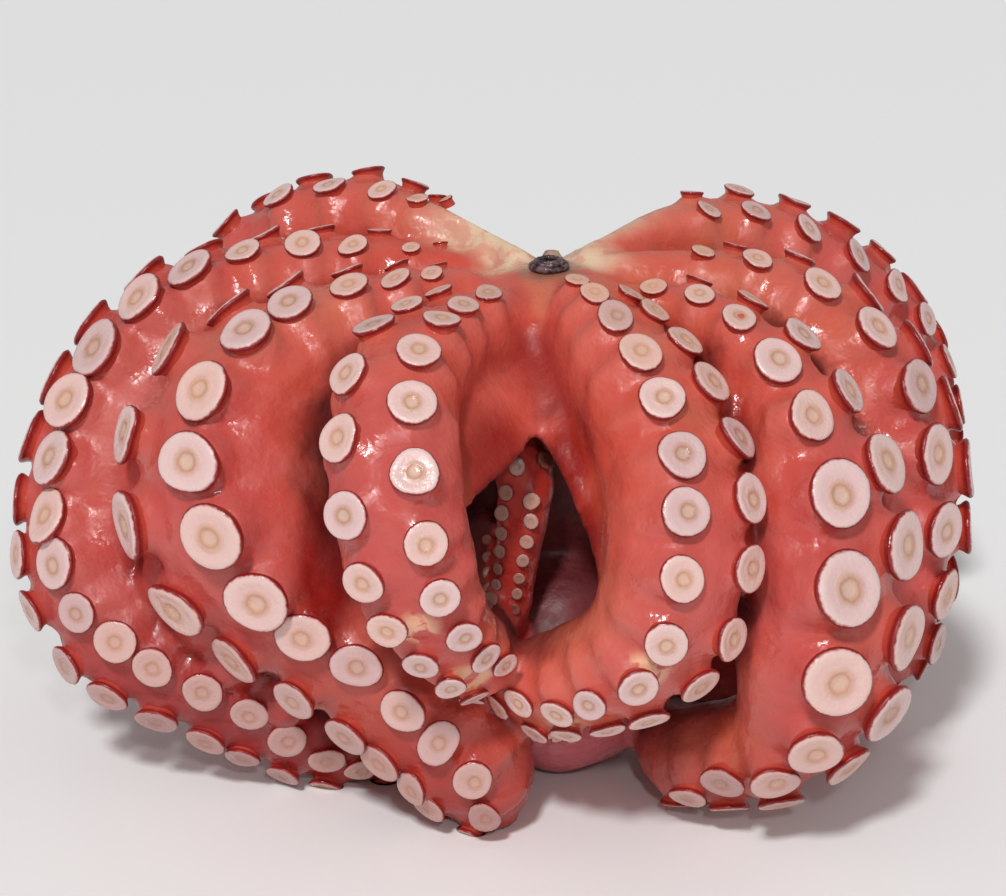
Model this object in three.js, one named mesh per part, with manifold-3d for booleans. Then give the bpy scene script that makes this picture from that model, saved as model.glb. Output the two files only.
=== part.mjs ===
// The whole boiled octopus of the photograph, resting on its mantle with the mouth up.
// Eight thick arms rise from the mouth, arch over a ring of webs and curl down to the floor
// with their suckers outwards. One arm's thin end hangs in the hollow under the front web.
// Millimetres, +Z up, -Y towards the camera, the floor at z = 0 and x = y = 0 under the mouth.

import * as THREE from 'three';
import { mergeVertices } from 'three/addons/utils/BufferGeometryUtils.js';
import Module from 'manifold-3d';

// Overall sizes
const MOUTH_HEIGHT = 155;
const HUB = new THREE.Vector3(0, 0, 25);
const GAP = 0.3;
const FLOOR_WIDTH = 600;
const FLOOR_DEPTH = 100;
const WELD_DISTANCE = 1e-4;

// Arms
const ARM_SIDES = 8;
const ROW_SPACING = 16.5;
const ORAL_FLATNESS = 0.08;
const END_WIDTH = 0.78;
const END_BULGE = 0.55;
const SKIN_ALLOWANCE = 1.5;
const THICKEST_ARM = 31;

// Suckers
const SMALLEST_SUCKER = 11.4;
const LARGE_SUCKER = 18;
const LARGE_SIDES = 8;
const SMALL_SIDES = 6;
const END_MARGIN = 0.6;
const COLUMN_ANGLE = THREE.MathUtils.degToRad(27);
const DISC_ANGLE = THREE.MathUtils.degToRad(17);
const DISC_HEIGHT = 0.22;
const STALK_DEPTH = 0.3;
const STALK_WIDTH = 0.36;
const DISH_DEPTH = 0.12;
const NEAR_AXIS = 0.01;

// Webs
const WEB_SPANS = 4;
const WEB_ROWS = 4;
const WEB_START = 0.5;
const WEB_THICK_TOP = 9;
const WEB_THICK_EDGE = 5;
const WEB_SAG_RATE = 1.1;
const SLOPE_STEP = 0.05;

// Head, mantle and mouth
const HEAD = { at: [0, 1, 106], half: [34, 27, 46], facets: [12, 6] };
const CROWN = { at: [1, -3, 138], half: [32, 29, 14], facets: [12, 5] };
const MANTLE = { at: [4, 1, 36], half: [36, 43, 38], facets: [14, 8] };
const LIP_RADIUS = 4.3;
const LIP_THICK = 1.5;
const LIP_SIDES = 5;
const MOUTH_SIDES = 12;
const POCKET_RADIUS = 3.1;
const POCKET_DEPTH = 7;
const BEAK_TOP = 1.2;
const BEAK_TIP_SHARE = 1 / 3;

// Each arm is a row of stations two suckers apart: x, y, z, roll in degrees, sucker diameter.
// `first` is the sucker number of the first station, `columns` where the left and right
// columns start counting, `plump` the arm's radius for a sucker of 1 mm.
const ARMS = [
  {
    name: 'front left', first: 0, plump: 1.28, columns: [0, 0.4],
    route: [
      [-14, -19, 142, 8, 7.5], [-29, -41, 141, -1, 9.5], [-40, -68, 136, -3, 12], [-41, -89, 118, -4, 13.6],
      [-36, -92, 97, -1, 12], [-28, -82, 75, -13, 9.5], [-21, -68, 62, -5, 7.8], [-19, -51, 57, -4, 6.4],
      [-18, -37, 62, -2, 5.2], [-17.5, -29, 73, -1, 4], [-17.5, -27, 85, -1, 3],
    ],
  },
  {
    name: 'left', first: 0, plump: 1.5, columns: [0, 0.67],
    route: [
      [-21, -3, 146, 9, 4], [-41, -8, 139, 0, 9], [-67, -19, 130, 3, 13.3], [-85, -31, 116, -7, 16.8],
      [-85, -39, 94, -8, 19], [-65, -41, 66, 7, 15.8], [-39, -46, 43, 10, 13.5], [-23, -49, 24, 0, 11.5],
      [-19, -44, 12, 6, 9.2], [-25, -29, 10.5, 4, 7.3], [-28, -13, 9.5, 3, 5.6], [-28, 1, 8, 2, 4],
    ],
  },
  {
    name: 'far left', first: 0, plump: 1.38, columns: [0, 0.63],
    route: [
      [-21, 16, 146, 4, 3], [-54, 22, 142, -14, 8.5], [-83, 19, 136, -8, 11.7], [-105, 13, 123, -11, 16.2],
      [-120, 1, 100, -10, 17.8], [-128, -12, 76, -14, 15.5], [-126, -21, 58, -25, 13.5],
      [-113, -24, 46, -38, 12.7], [-88, -22, 32, -46, 12], [-67, -18, 18, -48, 10.8],
      [-50, -12, 12, -45, 9.5], [-43, 2, 12, -30, 7.8], [-51, 16, 10, -20, 6], [-65, 25, 9, -18, 5],
    ],
  },
  {
    name: 'back left', first: -3, plump: 1.35, columns: [0, 0.82],
    route: [
      [-8, 14, 150, 0, 3], [-19, 32, 156, 8, 3.5], [-35, 39, 151, 0, 7], [-57, 53, 149, -10, 10.2],
      [-83, 67, 134, -6, 11.8], [-95, 82, 108, -2, 12.2], [-94, 90, 78, -2, 12.2], [-84, 83, 52, -1, 11.5],
      [-71, 62, 38, 0, 10.3], [-62, 36, 42, 0, 9], [-52, 12, 57, 0, 8], [-43, -6, 80, 0, 7.2],
      [-33, -17, 100, 0, 6.4], [-18, -27, 112, 0, 5.8], [-7, -35, 103, 0, 5.2], [-7.3, -37, 91, 0, 4.6],
      [-8.5, -38, 80, 0, 4], [-9.8, -38, 70, 0, 3.5], [-11, -38, 60, 0, 2.8], [-12, -37, 52, 0, 2.2],
    ],
  },
  {
    name: 'front right', first: -1, plump: 1.38, columns: [-0.4, -0.1],
    route: [
      [6, -14, 144, -16, 6], [13, -30, 140, -16, 9.5], [23, -48, 129, -15, 12.2], [32, -67, 110, -14, 13.5],
      [32, -80, 89, -17, 13.5], [23, -80, 70, -40, 11.8], [8, -70, 57, -52, 9.7], [-3, -57, 48, -26, 8.3],
      [-1, -44, 38, -17, 7], [7, -34, 28, -14, 5.8],
    ],
  },
  {
    name: 'right', first: -1, plump: 1.08, columns: [-0.45, -0.07],
    route: [
      [20, -7, 142, 2, 6], [43, -19, 140, 2, 9], [61, -39, 127, 5, 13], [70, -59, 100, -1, 18.5],
      [71.5, -69, 62.5, 7, 19], [64.5, -62, 36, 20, 14], [45, -47, 22.5, 24, 11.5], [36, -31, 16, 13, 9.2],
      [41, -17, 12, 8, 7.3], [53, -8, 9.5, 5, 5.6], [65, -3, 8, 5, 4],
    ],
  },
  {
    name: 'far right', first: -2, plump: 1.25, columns: [0.5, -0.03],
    route: [
      [18, 7, 147, 2, 4.5], [43, 9, 145, 2, 7], [71, 2, 135, 7, 12], [88, -7, 112, 5, 17],
      [96, -12, 82, 20, 17], [98, -3, 47, 15, 13], [93, 17, 27, 0, 11], [72, 31, 12, 2, 9.5],
      [50, 39, 10, 1, 8], [32, 44, 10, 1, 6.5],
    ],
  },
  {
    name: 'back right', first: -3, plump: 1.3, columns: [0.4, 0.31],
    route: [
      [12, 12, 149, 10, 3.5], [28, 28, 152, 14, 4.5], [50, 43, 148, 17, 9], [77, 56, 135, 30, 11.5],
      [99, 71, 114, 32, 12], [112, 82, 87, 30, 12], [111, 92, 60, 17, 11.8], [91, 95, 37, 10, 11.3],
      [64, 91, 18, 6, 10.5], [38, 85, 11, 4, 9.2], [15, 77, 11, 2, 7.5], [-5, 70, 10, 2, 6],
    ],
  },
];

// Each web runs between two arms (by place in ARMS) down to a sucker number on either arm.
// `scallop` is how far its middle is drawn up, `sag` how far it falls in behind the arms,
// and `crease` how straight its two halves run to the middle: 0 rounded, 1 a sharp fold.
const WEBS = [
  { arms: [0, 4], down: [7.5, 11], scallop: 0.65, sag: 20, crease: 1 },
  { arms: [4, 5], down: [7.5, 6.5], scallop: 0.25, sag: 8, crease: 0.25 },
  { arms: [5, 6], down: [6.5, 6.5], scallop: 0.3, sag: 9, crease: 0.25 },
  { arms: [6, 7], down: [7.5, 9.5], scallop: 0.35, sag: 16, crease: 0.25 },
  { arms: [7, 3], down: [9, 10], scallop: 0.36, sag: 40, crease: 0.25 },
  { arms: [3, 2], down: [9.5, 10.5], scallop: 0.35, sag: 16, crease: 0.25 },
  { arms: [2, 1], down: [9, 8], scallop: 0.25, sag: 8, crease: 0.25 },
  { arms: [1, 0], down: [6.5, 6.5], scallop: 0.3, sag: 17, crease: 0.25 },
];

/** A smooth run of the stations' numbers, read by sucker number. */
class Arm {
  constructor({ first, plump, columns, route }) {
    this.first = first;
    this.plump = plump;
    this.columns = columns;
    this.last = first + 2 * (route.length - 1);
    const points = route.map(([x, y, z]) => new THREE.Vector3(x, y, z));
    const traits = route.map(([, , , roll, sucker]) => new THREE.Vector3(roll, sucker, 0));
    this.line = new THREE.CatmullRomCurve3(points, false, 'catmullrom', 0.5);
    this.traits = new THREE.CatmullRomCurve3(traits, false, 'catmullrom', 0.5);
  }

  share(number) {
    return THREE.MathUtils.clamp((number - this.first) / (this.last - this.first), 0, 1);
  }

  /** The sucker number at a share of the arm's length. */
  numberAlong(share) {
    return THREE.MathUtils.lerp(this.first, this.last, this.line.getUtoTmapping(share));
  }

  at(number) {
    return this.line.getPoint(this.share(number));
  }

  sucker(number) {
    return this.traits.getPoint(this.share(number)).y;
  }

  radius(number) {
    return Math.min(this.plump * this.sucker(number) + SKIN_ALLOWANCE, THICKEST_ARM);
  }

  /** The directions at a place: along the arm, out through the suckers, and across. */
  frame(number) {
    const along = this.line.getTangent(this.share(number));
    const out = this.at(number).sub(HUB);
    out.addScaledVector(along, -out.dot(along)).normalize();
    const roll = THREE.MathUtils.degToRad(this.traits.getPoint(this.share(number)).x);
    out.applyAxisAngle(along, roll);
    return { along, out, across: new THREE.Vector3().crossVectors(along, out) };
  }
}

/** A sphere drawn out along an arm, its rows spread over the stations. */
function armBody(arm) {
  const rows = Math.round(arm.line.getLength() / ROW_SPACING) + 2;
  const body = new THREE.SphereGeometry(1, ARM_SIDES, rows);
  const place = body.attributes.position;
  const unit = new THREE.Vector3();
  for (let i = 0; i < place.count; i += 1) {
    unit.fromBufferAttribute(place, i);
    const row = (Math.acos(THREE.MathUtils.clamp(unit.y, -1, 1)) / Math.PI) * rows;
    const turn = Math.atan2(unit.z, unit.x);
    const number = arm.numberAlong(THREE.MathUtils.clamp((row - 1) / (rows - 2), 0, 1));
    const fromEnd = Math.round(Math.min(row, rows - row));
    const rounding = [0, END_WIDTH][fromEnd] ?? 1;
    const flat = 1 - ORAL_FLATNESS * Math.max(0, Math.cos(turn)) ** 2;
    const reach = arm.radius(number) * rounding * flat;
    const { along, out, across } = arm.frame(number);
    const point = arm.at(number);
    if (fromEnd === 0) {
      point.addScaledVector(along, (row < 1 ? -1 : 1) * END_BULGE * arm.radius(number));
    }
    point.addScaledVector(out, reach * Math.cos(turn));
    point.addScaledVector(across, -reach * Math.sin(turn));
    place.setXYZ(i, point.x, point.y, point.z);
  }
  return body;
}

/** One flared cup with a dished face, its stalk sunk in the arm. */
function suckerCup(arm, number, side) {
  const size = arm.sucker(number);
  const { out, across } = arm.frame(number);
  const lean = (angle) => out.clone().multiplyScalar(Math.cos(angle))
    .addScaledVector(across, side * Math.sin(angle));
  const face = arm.at(number)
    .addScaledVector(lean(COLUMN_ANGLE), arm.radius(number) + DISC_HEIGHT * size);
  const sides = size > LARGE_SUCKER ? LARGE_SIDES : SMALL_SIDES;
  const height = (DISC_HEIGHT + STALK_DEPTH) * size;
  const cup = new THREE.CylinderGeometry(size / 2, STALK_WIDTH * size, height, sides, 1);
  const place = cup.attributes.position;
  for (let i = 0; i < place.count; i += 1) {
    const middle = Math.hypot(place.getX(i), place.getZ(i)) < NEAR_AXIS * size;
    if (middle && place.getY(i) > 0) {
      place.setY(i, height / 2 - DISH_DEPTH * size);
    }
  }
  cup.translate(0, -height / 2, 0);
  const turn = new THREE.Quaternion().setFromUnitVectors(new THREE.Vector3(0, 1, 0), lean(DISC_ANGLE));
  cup.applyQuaternion(turn);
  cup.translate(face.x, face.y, face.z);
  return cup;
}

/** Every sucker of an arm down to the smallest one that is modelled. */
function armSuckers(arm) {
  const cups = [];
  [-1, 1].forEach((side, column) => {
    const start = arm.columns[column];
    for (let number = start; number < arm.last - END_MARGIN; number += 1) {
      if (number > arm.first + END_MARGIN && arm.sucker(number) >= SMALLEST_SUCKER) {
        cups.push(suckerCup(arm, number, side));
      }
    }
  });
  return cups;
}

/** A thick sheet hung between two arms, its free edge scalloped and its middle sagging in. */
function web({ arms, down, scallop, sag, crease }, all) {
  const pair = arms.map((place) => all[place]);
  const sheet = new THREE.BoxGeometry(1, 1, 1, WEB_SPANS, WEB_ROWS, 1);
  const place = sheet.attributes.position;
  const bow = (across) => THREE.MathUtils.lerp(
    Math.sin(Math.PI * across),
    1 - Math.abs(2 * across - 1),
    crease,
  );
  const edgeAt = (k, depth) => {
    const start = pair[k].first + WEB_START;
    return pair[k].at(THREE.MathUtils.lerp(start, down[k], depth));
  };
  const middleAt = (across, depth) => {
    const point = edgeAt(0, depth).lerp(edgeAt(1, depth), across);
    const away = point.clone().sub(HUB).normalize();
    const fallen = Math.min(1, WEB_SAG_RATE * Math.sqrt(Math.max(0, depth)));
    return point.addScaledVector(away, -sag * bow(across) * fallen);
  };
  const around = (share) => [Math.max(0, share - SLOPE_STEP), Math.min(1, share + SLOPE_STEP)];
  for (let i = 0; i < place.count; i += 1) {
    const across = place.getX(i) + 0.5;
    const depth = (0.5 - place.getY(i)) * (1 - scallop * bow(across));
    const point = middleAt(across, depth);
    const thick = THREE.MathUtils.lerp(WEB_THICK_TOP, WEB_THICK_EDGE, depth);
    const [left, right] = around(across).map((share) => middleAt(share, depth));
    const [upper, lower] = around(depth).map((share) => middleAt(across, share));
    const skin = lower.sub(upper).cross(right.sub(left)).normalize();
    point.addScaledVector(skin, place.getZ(i) * thick);
    place.setXYZ(i, point.x, point.y, point.z);
  }
  return sheet;
}

function ellipsoid({ at, half, facets }) {
  const shape = new THREE.SphereGeometry(1, ...facets);
  shape.rotateX(Math.PI / 2);
  shape.scale(...half);
  shape.translate(...at);
  return shape;
}

function upright(shape, x, y, z) {
  shape.rotateX(Math.PI / 2);
  shape.translate(x, y, z);
  return shape;
}

const wasm = await Module();
wasm.setup();

/** The closed solid of a geometry, turned outwards if its faces point in. */
function solid(geometry) {
  const bare = geometry.clone();
  bare.deleteAttribute('normal');
  bare.deleteAttribute('uv');
  const joined = mergeVertices(bare, WELD_DISTANCE);
  const corners = Array.from(joined.index.array);
  const kept = [];
  for (let i = 0; i < corners.length; i += 3) {
    const [a, b, c] = corners.slice(i, i + 3);
    if (a !== b && b !== c && c !== a) {
      kept.push(a, b, c);
    }
  }
  const build = (triangles) => new wasm.Manifold(new wasm.Mesh({
    numProp: 3,
    vertProperties: Float32Array.from(joined.attributes.position.array),
    triVerts: Uint32Array.from(triangles),
  }));
  const body = build(kept);
  return body.volume() > 0 ? body : build(kept.reverse());
}

/** A mesh geometry of the largest single body of a solid. */
function surface(body) {
  const pieces = body.decompose();
  pieces.sort((a, b) => b.volume() - a.volume());
  const mesh = pieces[0].getMesh();
  const geometry = new THREE.BufferGeometry();
  const points = [];
  for (let i = 0; i < mesh.numVert; i += 1) {
    points.push(...mesh.vertProperties.slice(i * mesh.numProp, i * mesh.numProp + 3));
  }
  geometry.setAttribute('position', new THREE.Float32BufferAttribute(points, 3));
  geometry.setIndex(Array.from(mesh.triVerts));
  geometry.computeVertexNormals();
  return geometry;
}

/** Arms, webs, head, mantle, suckers and lip in one, cut by the mouth's pocket and the floor. */
function octopusBody() {
  const arms = ARMS.map((spec) => new Arm(spec));
  const shapes = [HEAD, CROWN, MANTLE].map(ellipsoid);
  shapes.push(...arms.map(armBody));
  shapes.push(...WEBS.map((spec) => web(spec, arms)));
  shapes.push(...arms.flatMap(armSuckers));
  const lip = new THREE.TorusGeometry(LIP_RADIUS, LIP_THICK, LIP_SIDES, MOUTH_SIDES);
  lip.translate(0, 0, MOUTH_HEIGHT - LIP_THICK);
  shapes.push(lip);
  const pocket = new THREE.CylinderGeometry(POCKET_RADIUS, POCKET_RADIUS, 2 * POCKET_DEPTH, MOUTH_SIDES);
  const floor = new THREE.BoxGeometry(FLOOR_WIDTH, FLOOR_WIDTH, FLOOR_DEPTH);
  floor.translate(0, 0, -FLOOR_DEPTH / 2);
  return wasm.Manifold.union(shapes.map(solid))
    .subtract(solid(upright(pocket, 0, 0, MOUTH_HEIGHT)))
    .subtract(solid(floor));
}

function beakBody() {
  const width = POCKET_RADIUS - GAP;
  const bottom = MOUTH_HEIGHT - POCKET_DEPTH + GAP;
  const height = MOUTH_HEIGHT - BEAK_TOP - bottom;
  const beak = new THREE.CylinderGeometry(BEAK_TIP_SHARE * width, width, height, MOUTH_SIDES);
  return solid(upright(beak, 0, 0, bottom + height / 2));
}

function piece(name, body, colour, roughness) {
  const material = new THREE.MeshStandardMaterial({ color: colour, roughness, metalness: 0 });
  const mesh = new THREE.Mesh(surface(body), material);
  mesh.name = name;
  return mesh;
}

const part = new THREE.Group();
part.name = 'whole_octopus';
part.add(piece('octopus', octopusBody(), 0xcd5546, 0.3));
part.add(piece('beak', beakBody(), 0x3a2a33, 0.35));

// The part's origin is the middle of the floor under its bounding box.
const box = new THREE.Box3().setFromObject(part);
const middle = box.getCenter(new THREE.Vector3());
part.children.forEach((mesh) => mesh.geometry.translate(-middle.x, -middle.y, -box.min.z));

export default part;
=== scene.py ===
"""The whole boiled octopus of the photograph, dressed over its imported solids.

The octopus rests on its mantle with the mouth up.  Its skin is one smooth body of
eight arms, the webs between them, the head and the mantle; the suckers stand on it
in two staggered columns an arm.  Lengths are written in millimetres from a point on
the floor under the mouth and turned to metres in the frame of the solids.
"""

import logging
import math
from dataclasses import dataclass, field
from enum import Enum
from typing import Dict, List, Optional, Sequence, Tuple, Union

import bpy
import numpy as np
from mathutils import Matrix, Vector, noise
from mathutils.bvhtree import BVHTree
from mathutils.kdtree import KDTree


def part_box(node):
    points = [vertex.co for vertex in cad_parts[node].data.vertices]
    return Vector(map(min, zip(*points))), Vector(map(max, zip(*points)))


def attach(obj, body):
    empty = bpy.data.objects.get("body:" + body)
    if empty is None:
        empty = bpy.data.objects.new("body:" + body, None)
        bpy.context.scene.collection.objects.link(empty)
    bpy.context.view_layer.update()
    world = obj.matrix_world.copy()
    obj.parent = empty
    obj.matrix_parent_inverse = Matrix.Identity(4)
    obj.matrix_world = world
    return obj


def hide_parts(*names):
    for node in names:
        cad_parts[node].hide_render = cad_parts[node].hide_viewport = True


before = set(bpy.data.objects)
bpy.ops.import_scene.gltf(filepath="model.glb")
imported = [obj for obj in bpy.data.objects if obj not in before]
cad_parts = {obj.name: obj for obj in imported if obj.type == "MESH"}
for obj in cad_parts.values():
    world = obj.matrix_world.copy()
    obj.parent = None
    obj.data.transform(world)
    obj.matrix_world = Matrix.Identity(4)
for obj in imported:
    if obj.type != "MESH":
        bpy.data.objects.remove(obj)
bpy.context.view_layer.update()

LOG = logging.getLogger("octopus")

MM = 0.001
BODY = "root"
SKIN_NODE = "octopus"
BEAK_NODE = "beak"

# Where the mouth stands in the frame of the solids, and how high it is.
BEAK_LOW, BEAK_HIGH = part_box(BEAK_NODE)
MOUTH = Vector(((BEAK_LOW.x + BEAK_HIGH.x) / 2, (BEAK_LOW.y + BEAK_HIGH.y) / 2, 0.0))
MOUTH_HEIGHT = 155.0
HUB = Vector((0.0, 0.0, 25.0))

# How far the suckers' columns and faces turn from the arm's middle line, and how high a
# face stands for a diameter of 1.
COLUMN_ANGLE = math.radians(27.0)
DISC_ANGLE = math.radians(17.0)
DISC_HEIGHT = 0.22
# What the skin adds to an arm's radius, the thickest arm's radius, and the run of an arm
# between two of its rings.
SKIN_ALLOWANCE = 1.5
THICKEST_ARM = 31.0
ARM_STEP = 4.0
ROUTE_SAMPLES = 40
# Where webs start on their arms, in suckers, and how fast their sag sets in.
WEB_START = 0.5
SAG_ONSET = 1.1

Colour = Tuple[float, float, float, float]
Feed = Union[bpy.types.NodeSocket, float, Tuple[float, ...]]
WHITE: Colour = (1.0, 1.0, 1.0, 1.0)


def place(point: Vector) -> Vector:
    """Turn a point in millimetres under the mouth to metres in the solids' frame."""
    return MOUTH + point * MM


def srgb(red: int, green: int, blue: int) -> Colour:
    """Return a linear colour from its display values.

    Args:
        red: Red from 0 to 255.
        green: Green from 0 to 255.
        blue: Blue from 0 to 255.

    Returns:
        The colour as linear red, green, blue and an alpha of 1.
    """
    shares = [value / 255.0 for value in (red, green, blue)]
    return (*(share / 12.92 if share <= 0.04045 else ((share + 0.055) / 1.055) ** 2.4
              for share in shares), 1.0)


# Routes
@dataclass
class Arm:
    """One arm: a smooth line through stations that lie two suckers apart."""

    name: str
    first: int
    plump: float
    columns: Tuple[float, float]
    route: List[Tuple[float, ...]]
    hang_from: float = math.inf

    @property
    def last(self) -> float:
        """Return the sucker number of the last station."""
        return self.first + 2.0 * (len(self.route) - 1)

    def _cell(self, number: float) -> Tuple[int, float]:
        """Return the stretch that a sucker number lies in, and the share along it."""
        along = min(max((number - self.first) / 2.0, 0.0), len(self.route) - 1.0)
        cell = min(int(along), len(self.route) - 2)
        return cell, along - cell

    def _row(self, index: int) -> np.ndarray:
        """Return a station's numbers, carried on straight past either end."""
        count = len(self.route)
        if index < 0:
            return 2.0 * np.array(self.route[0]) - np.array(self.route[1])
        if index >= count:
            return 2.0 * np.array(self.route[-1]) - np.array(self.route[-2])
        return np.array(self.route[index])

    def _blend(self, number: float) -> Tuple[np.ndarray, np.ndarray]:
        """Return the smooth run's numbers and their slope at a sucker number.

        Args:
            number: A sucker number.

        Returns:
            The station's five numbers there, and how fast each changes a station.
        """
        cell, share = self._cell(number)
        before, start, end, after = (self._row(cell + k) for k in (-1, 0, 1, 2))
        lean_in, lean_out = 0.5 * (end - before), 0.5 * (after - start)
        cubic = 2.0 * (start - end) + lean_in + lean_out
        square = 3.0 * (end - start) - 2.0 * lean_in - lean_out
        value = ((cubic * share + square) * share + lean_in) * share + start
        slope = (3.0 * cubic * share + 2.0 * square) * share + lean_in
        return value, slope

    def at(self, number: float) -> Vector:
        """Return the middle of the arm at a sucker number."""
        return Vector(self._blend(number)[0][:3])

    def sucker(self, number: float) -> float:
        """Return the sucker diameter at a sucker number."""
        return float(self._blend(number)[0][4])

    def radius(self, number: float) -> float:
        """Return the arm's radius at a sucker number."""
        return min(self.plump * self.sucker(number) + SKIN_ALLOWANCE, THICKEST_ARM)

    def frame(self, number: float) -> Tuple[Vector, Vector, Vector]:
        """Return the directions along the arm, out through its suckers and across."""
        value, slope = self._blend(number)
        along = Vector(slope[:3]).normalized()
        out = Vector(value[:3]) - HUB
        out = (out - along * out.dot(along)).normalized()
        out.rotate(Matrix.Rotation(math.radians(float(value[3])), 3, along))
        return along, out, along.cross(out)

    def hangs(self, number: float) -> bool:
        """Return whether a sucker number lies on the end that hangs in the hollow."""
        return number > self.hang_from

    def numbers(self, step: float) -> List[float]:
        """Return sucker numbers that lie about a step of millimetres apart."""
        fine = np.linspace(self.first, self.last, ROUTE_SAMPLES * len(self.route))
        points = [self.at(float(n)) for n in fine]
        runs = np.cumsum([0.0] + [(b - a).length for a, b in zip(points, points[1:])])
        wanted = np.linspace(0.0, runs[-1], max(2, round(runs[-1] / step)))
        return [float(n) for n in np.interp(wanted, runs, fine)]


ARMS = [
    Arm("front_left", 0, 1.28, (0.0, 0.4), [
        (-14, -19, 142, 8, 7.5), (-29, -41, 141, -1, 9.5), (-40, -68, 136, -3, 12),
        (-41, -89, 118, -4, 13.6), (-36, -92, 97, -1, 12), (-28, -82, 75, -13, 9.5),
        (-21, -68, 62, -5, 7.8), (-19, -51, 57, -4, 6.4), (-18, -37, 62, -2, 5.2),
        (-17.5, -29, 73, -1, 4), (-17.5, -27, 85, -1, 3)]),
    Arm("left", 0, 1.5, (0.0, 0.67), [
        (-21, -3, 146, 9, 4), (-41, -8, 139, 0, 9), (-67, -19, 130, 3, 13.3),
        (-85, -31, 116, -7, 16.8), (-85, -39, 94, -8, 19), (-65, -41, 66, 7, 15.8),
        (-39, -46, 43, 10, 13.5), (-23, -49, 24, 0, 11.5), (-19, -44, 12, 6, 9.2),
        (-25, -29, 10.5, 4, 7.3), (-28, -13, 9.5, 3, 5.6), (-28, 1, 8, 2, 4)]),
    Arm("far_left", 0, 1.38, (0.0, 0.63), [
        (-21, 16, 146, 4, 3), (-54, 22, 142, -14, 8.5), (-83, 19, 136, -8, 11.7),
        (-105, 13, 123, -11, 16.2), (-120, 1, 100, -10, 17.8), (-128, -12, 76, -14, 15.5),
        (-126, -21, 58, -25, 13.5), (-113, -24, 46, -38, 12.7), (-88, -22, 32, -46, 12),
        (-67, -18, 18, -48, 10.8), (-50, -12, 12, -45, 9.5), (-43, 2, 12, -30, 7.8),
        (-51, 16, 10, -20, 6), (-65, 25, 9, -18, 5)]),
    Arm("back_left", -3, 1.35, (0.0, 0.82), [
        (-8, 14, 150, 0, 3), (-19, 32, 156, 8, 3.5), (-35, 39, 151, 0, 7),
        (-57, 53, 149, -10, 10.2), (-83, 67, 134, -6, 11.8), (-95, 82, 108, -2, 12.2),
        (-94, 90, 78, -2, 12.2), (-84, 83, 52, -1, 11.5), (-71, 62, 38, 0, 10.3),
        (-62, 36, 42, 0, 9), (-52, 12, 57, 0, 8), (-43, -6, 80, 0, 7.2),
        (-33, -17, 100, 0, 6.4), (-18, -27, 112, 0, 5.8), (-7, -35, 103, 0, 5.2),
        (-7.3, -37, 91, 0, 4.6), (-8.5, -38, 80, 0, 4), (-9.8, -38, 70, 0, 3.5),
        (-11, -38, 60, 0, 2.8), (-12, -37, 52, 0, 2.2)], 22.0),
    Arm("front_right", -1, 1.38, (-0.4, -0.1), [
        (6, -14, 144, -16, 6), (13, -30, 140, -16, 9.5), (23, -48, 129, -15, 12.2),
        (32, -67, 110, -14, 13.5), (32, -80, 89, -17, 13.5), (23, -80, 70, -40, 11.8),
        (8, -70, 57, -52, 9.7), (-3, -57, 48, -26, 8.3), (-1, -44, 38, -17, 7),
        (7, -34, 28, -14, 5.8)]),
    Arm("right", -1, 1.08, (-0.45, -0.07), [
        (20, -7, 142, 2, 6), (43, -19, 140, 2, 9), (61, -39, 127, 5, 13),
        (70, -59, 100, -1, 18.5), (71.5, -69, 62.5, 7, 19), (64.5, -62, 36, 20, 14),
        (45, -47, 22.5, 24, 11.5), (36, -31, 16, 13, 9.2), (41, -17, 12, 8, 7.3),
        (53, -8, 9.5, 5, 5.6), (65, -3, 8, 5, 4)]),
    Arm("far_right", -2, 1.25, (0.5, -0.03), [
        (18, 7, 147, 2, 4.5), (43, 9, 145, 2, 7), (71, 2, 135, 7, 12),
        (88, -7, 112, 5, 17), (96, -12, 82, 20, 17), (98, -3, 47, 15, 13),
        (93, 17, 27, 0, 11), (72, 31, 12, 2, 9.5), (50, 39, 10, 1, 8),
        (32, 44, 10, 1, 6.5)]),
    Arm("back_right", -3, 1.3, (0.4, 0.31), [
        (12, 12, 149, 10, 3.5), (28, 28, 152, 14, 4.5), (50, 43, 148, 17, 9),
        (77, 56, 135, 30, 11.5), (99, 71, 114, 32, 12), (112, 82, 87, 30, 12),
        (111, 92, 60, 17, 11.8), (91, 95, 37, 10, 11.3), (64, 91, 18, 6, 10.5),
        (38, 85, 11, 4, 9.2), (15, 77, 11, 2, 7.5), (-5, 70, 10, 2, 6)]),
]


@dataclass
class Web:
    """The skin between two arms: how far down each it runs, its scallop, sag and crease."""

    arms: Tuple[int, int]
    down: Tuple[float, float]
    scallop: float
    sag: float
    crease: float = 0.25

    def bow(self, across: float) -> float:
        """Return 0 at either arm and 1 midway, rounded or, for a full crease, straight."""
        peak = 1.0 - abs(2.0 * across - 1.0)
        return (1.0 - self.crease) * math.sin(math.pi * across) + self.crease * peak

    def middle(self, across: float, depth: float) -> Vector:
        """Return the middle of the sheet at a share across and a share down.

        Args:
            across: From 0 at the first arm to 1 at the second.
            depth: From 0 by the mouth to 1 where the web ends on its arms.

        Returns:
            A point in millimetres.
        """
        ends = []
        for arm, stop in zip((ARMS[k] for k in self.arms), self.down):
            start = arm.first + WEB_START
            ends.append(arm.at(start + (stop - start) * depth))
        point = ends[0].lerp(ends[1], across)
        fall = self.sag * self.bow(across) * min(1.0, SAG_ONSET * math.sqrt(max(0.0, depth)))
        return point - (point - HUB).normalized() * fall

    def depth(self, across: float, share: float) -> float:
        """Return how far down a share of the sheet lies, its free edge drawn up midway."""
        return share * (1.0 - self.scallop * self.bow(across))


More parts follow.
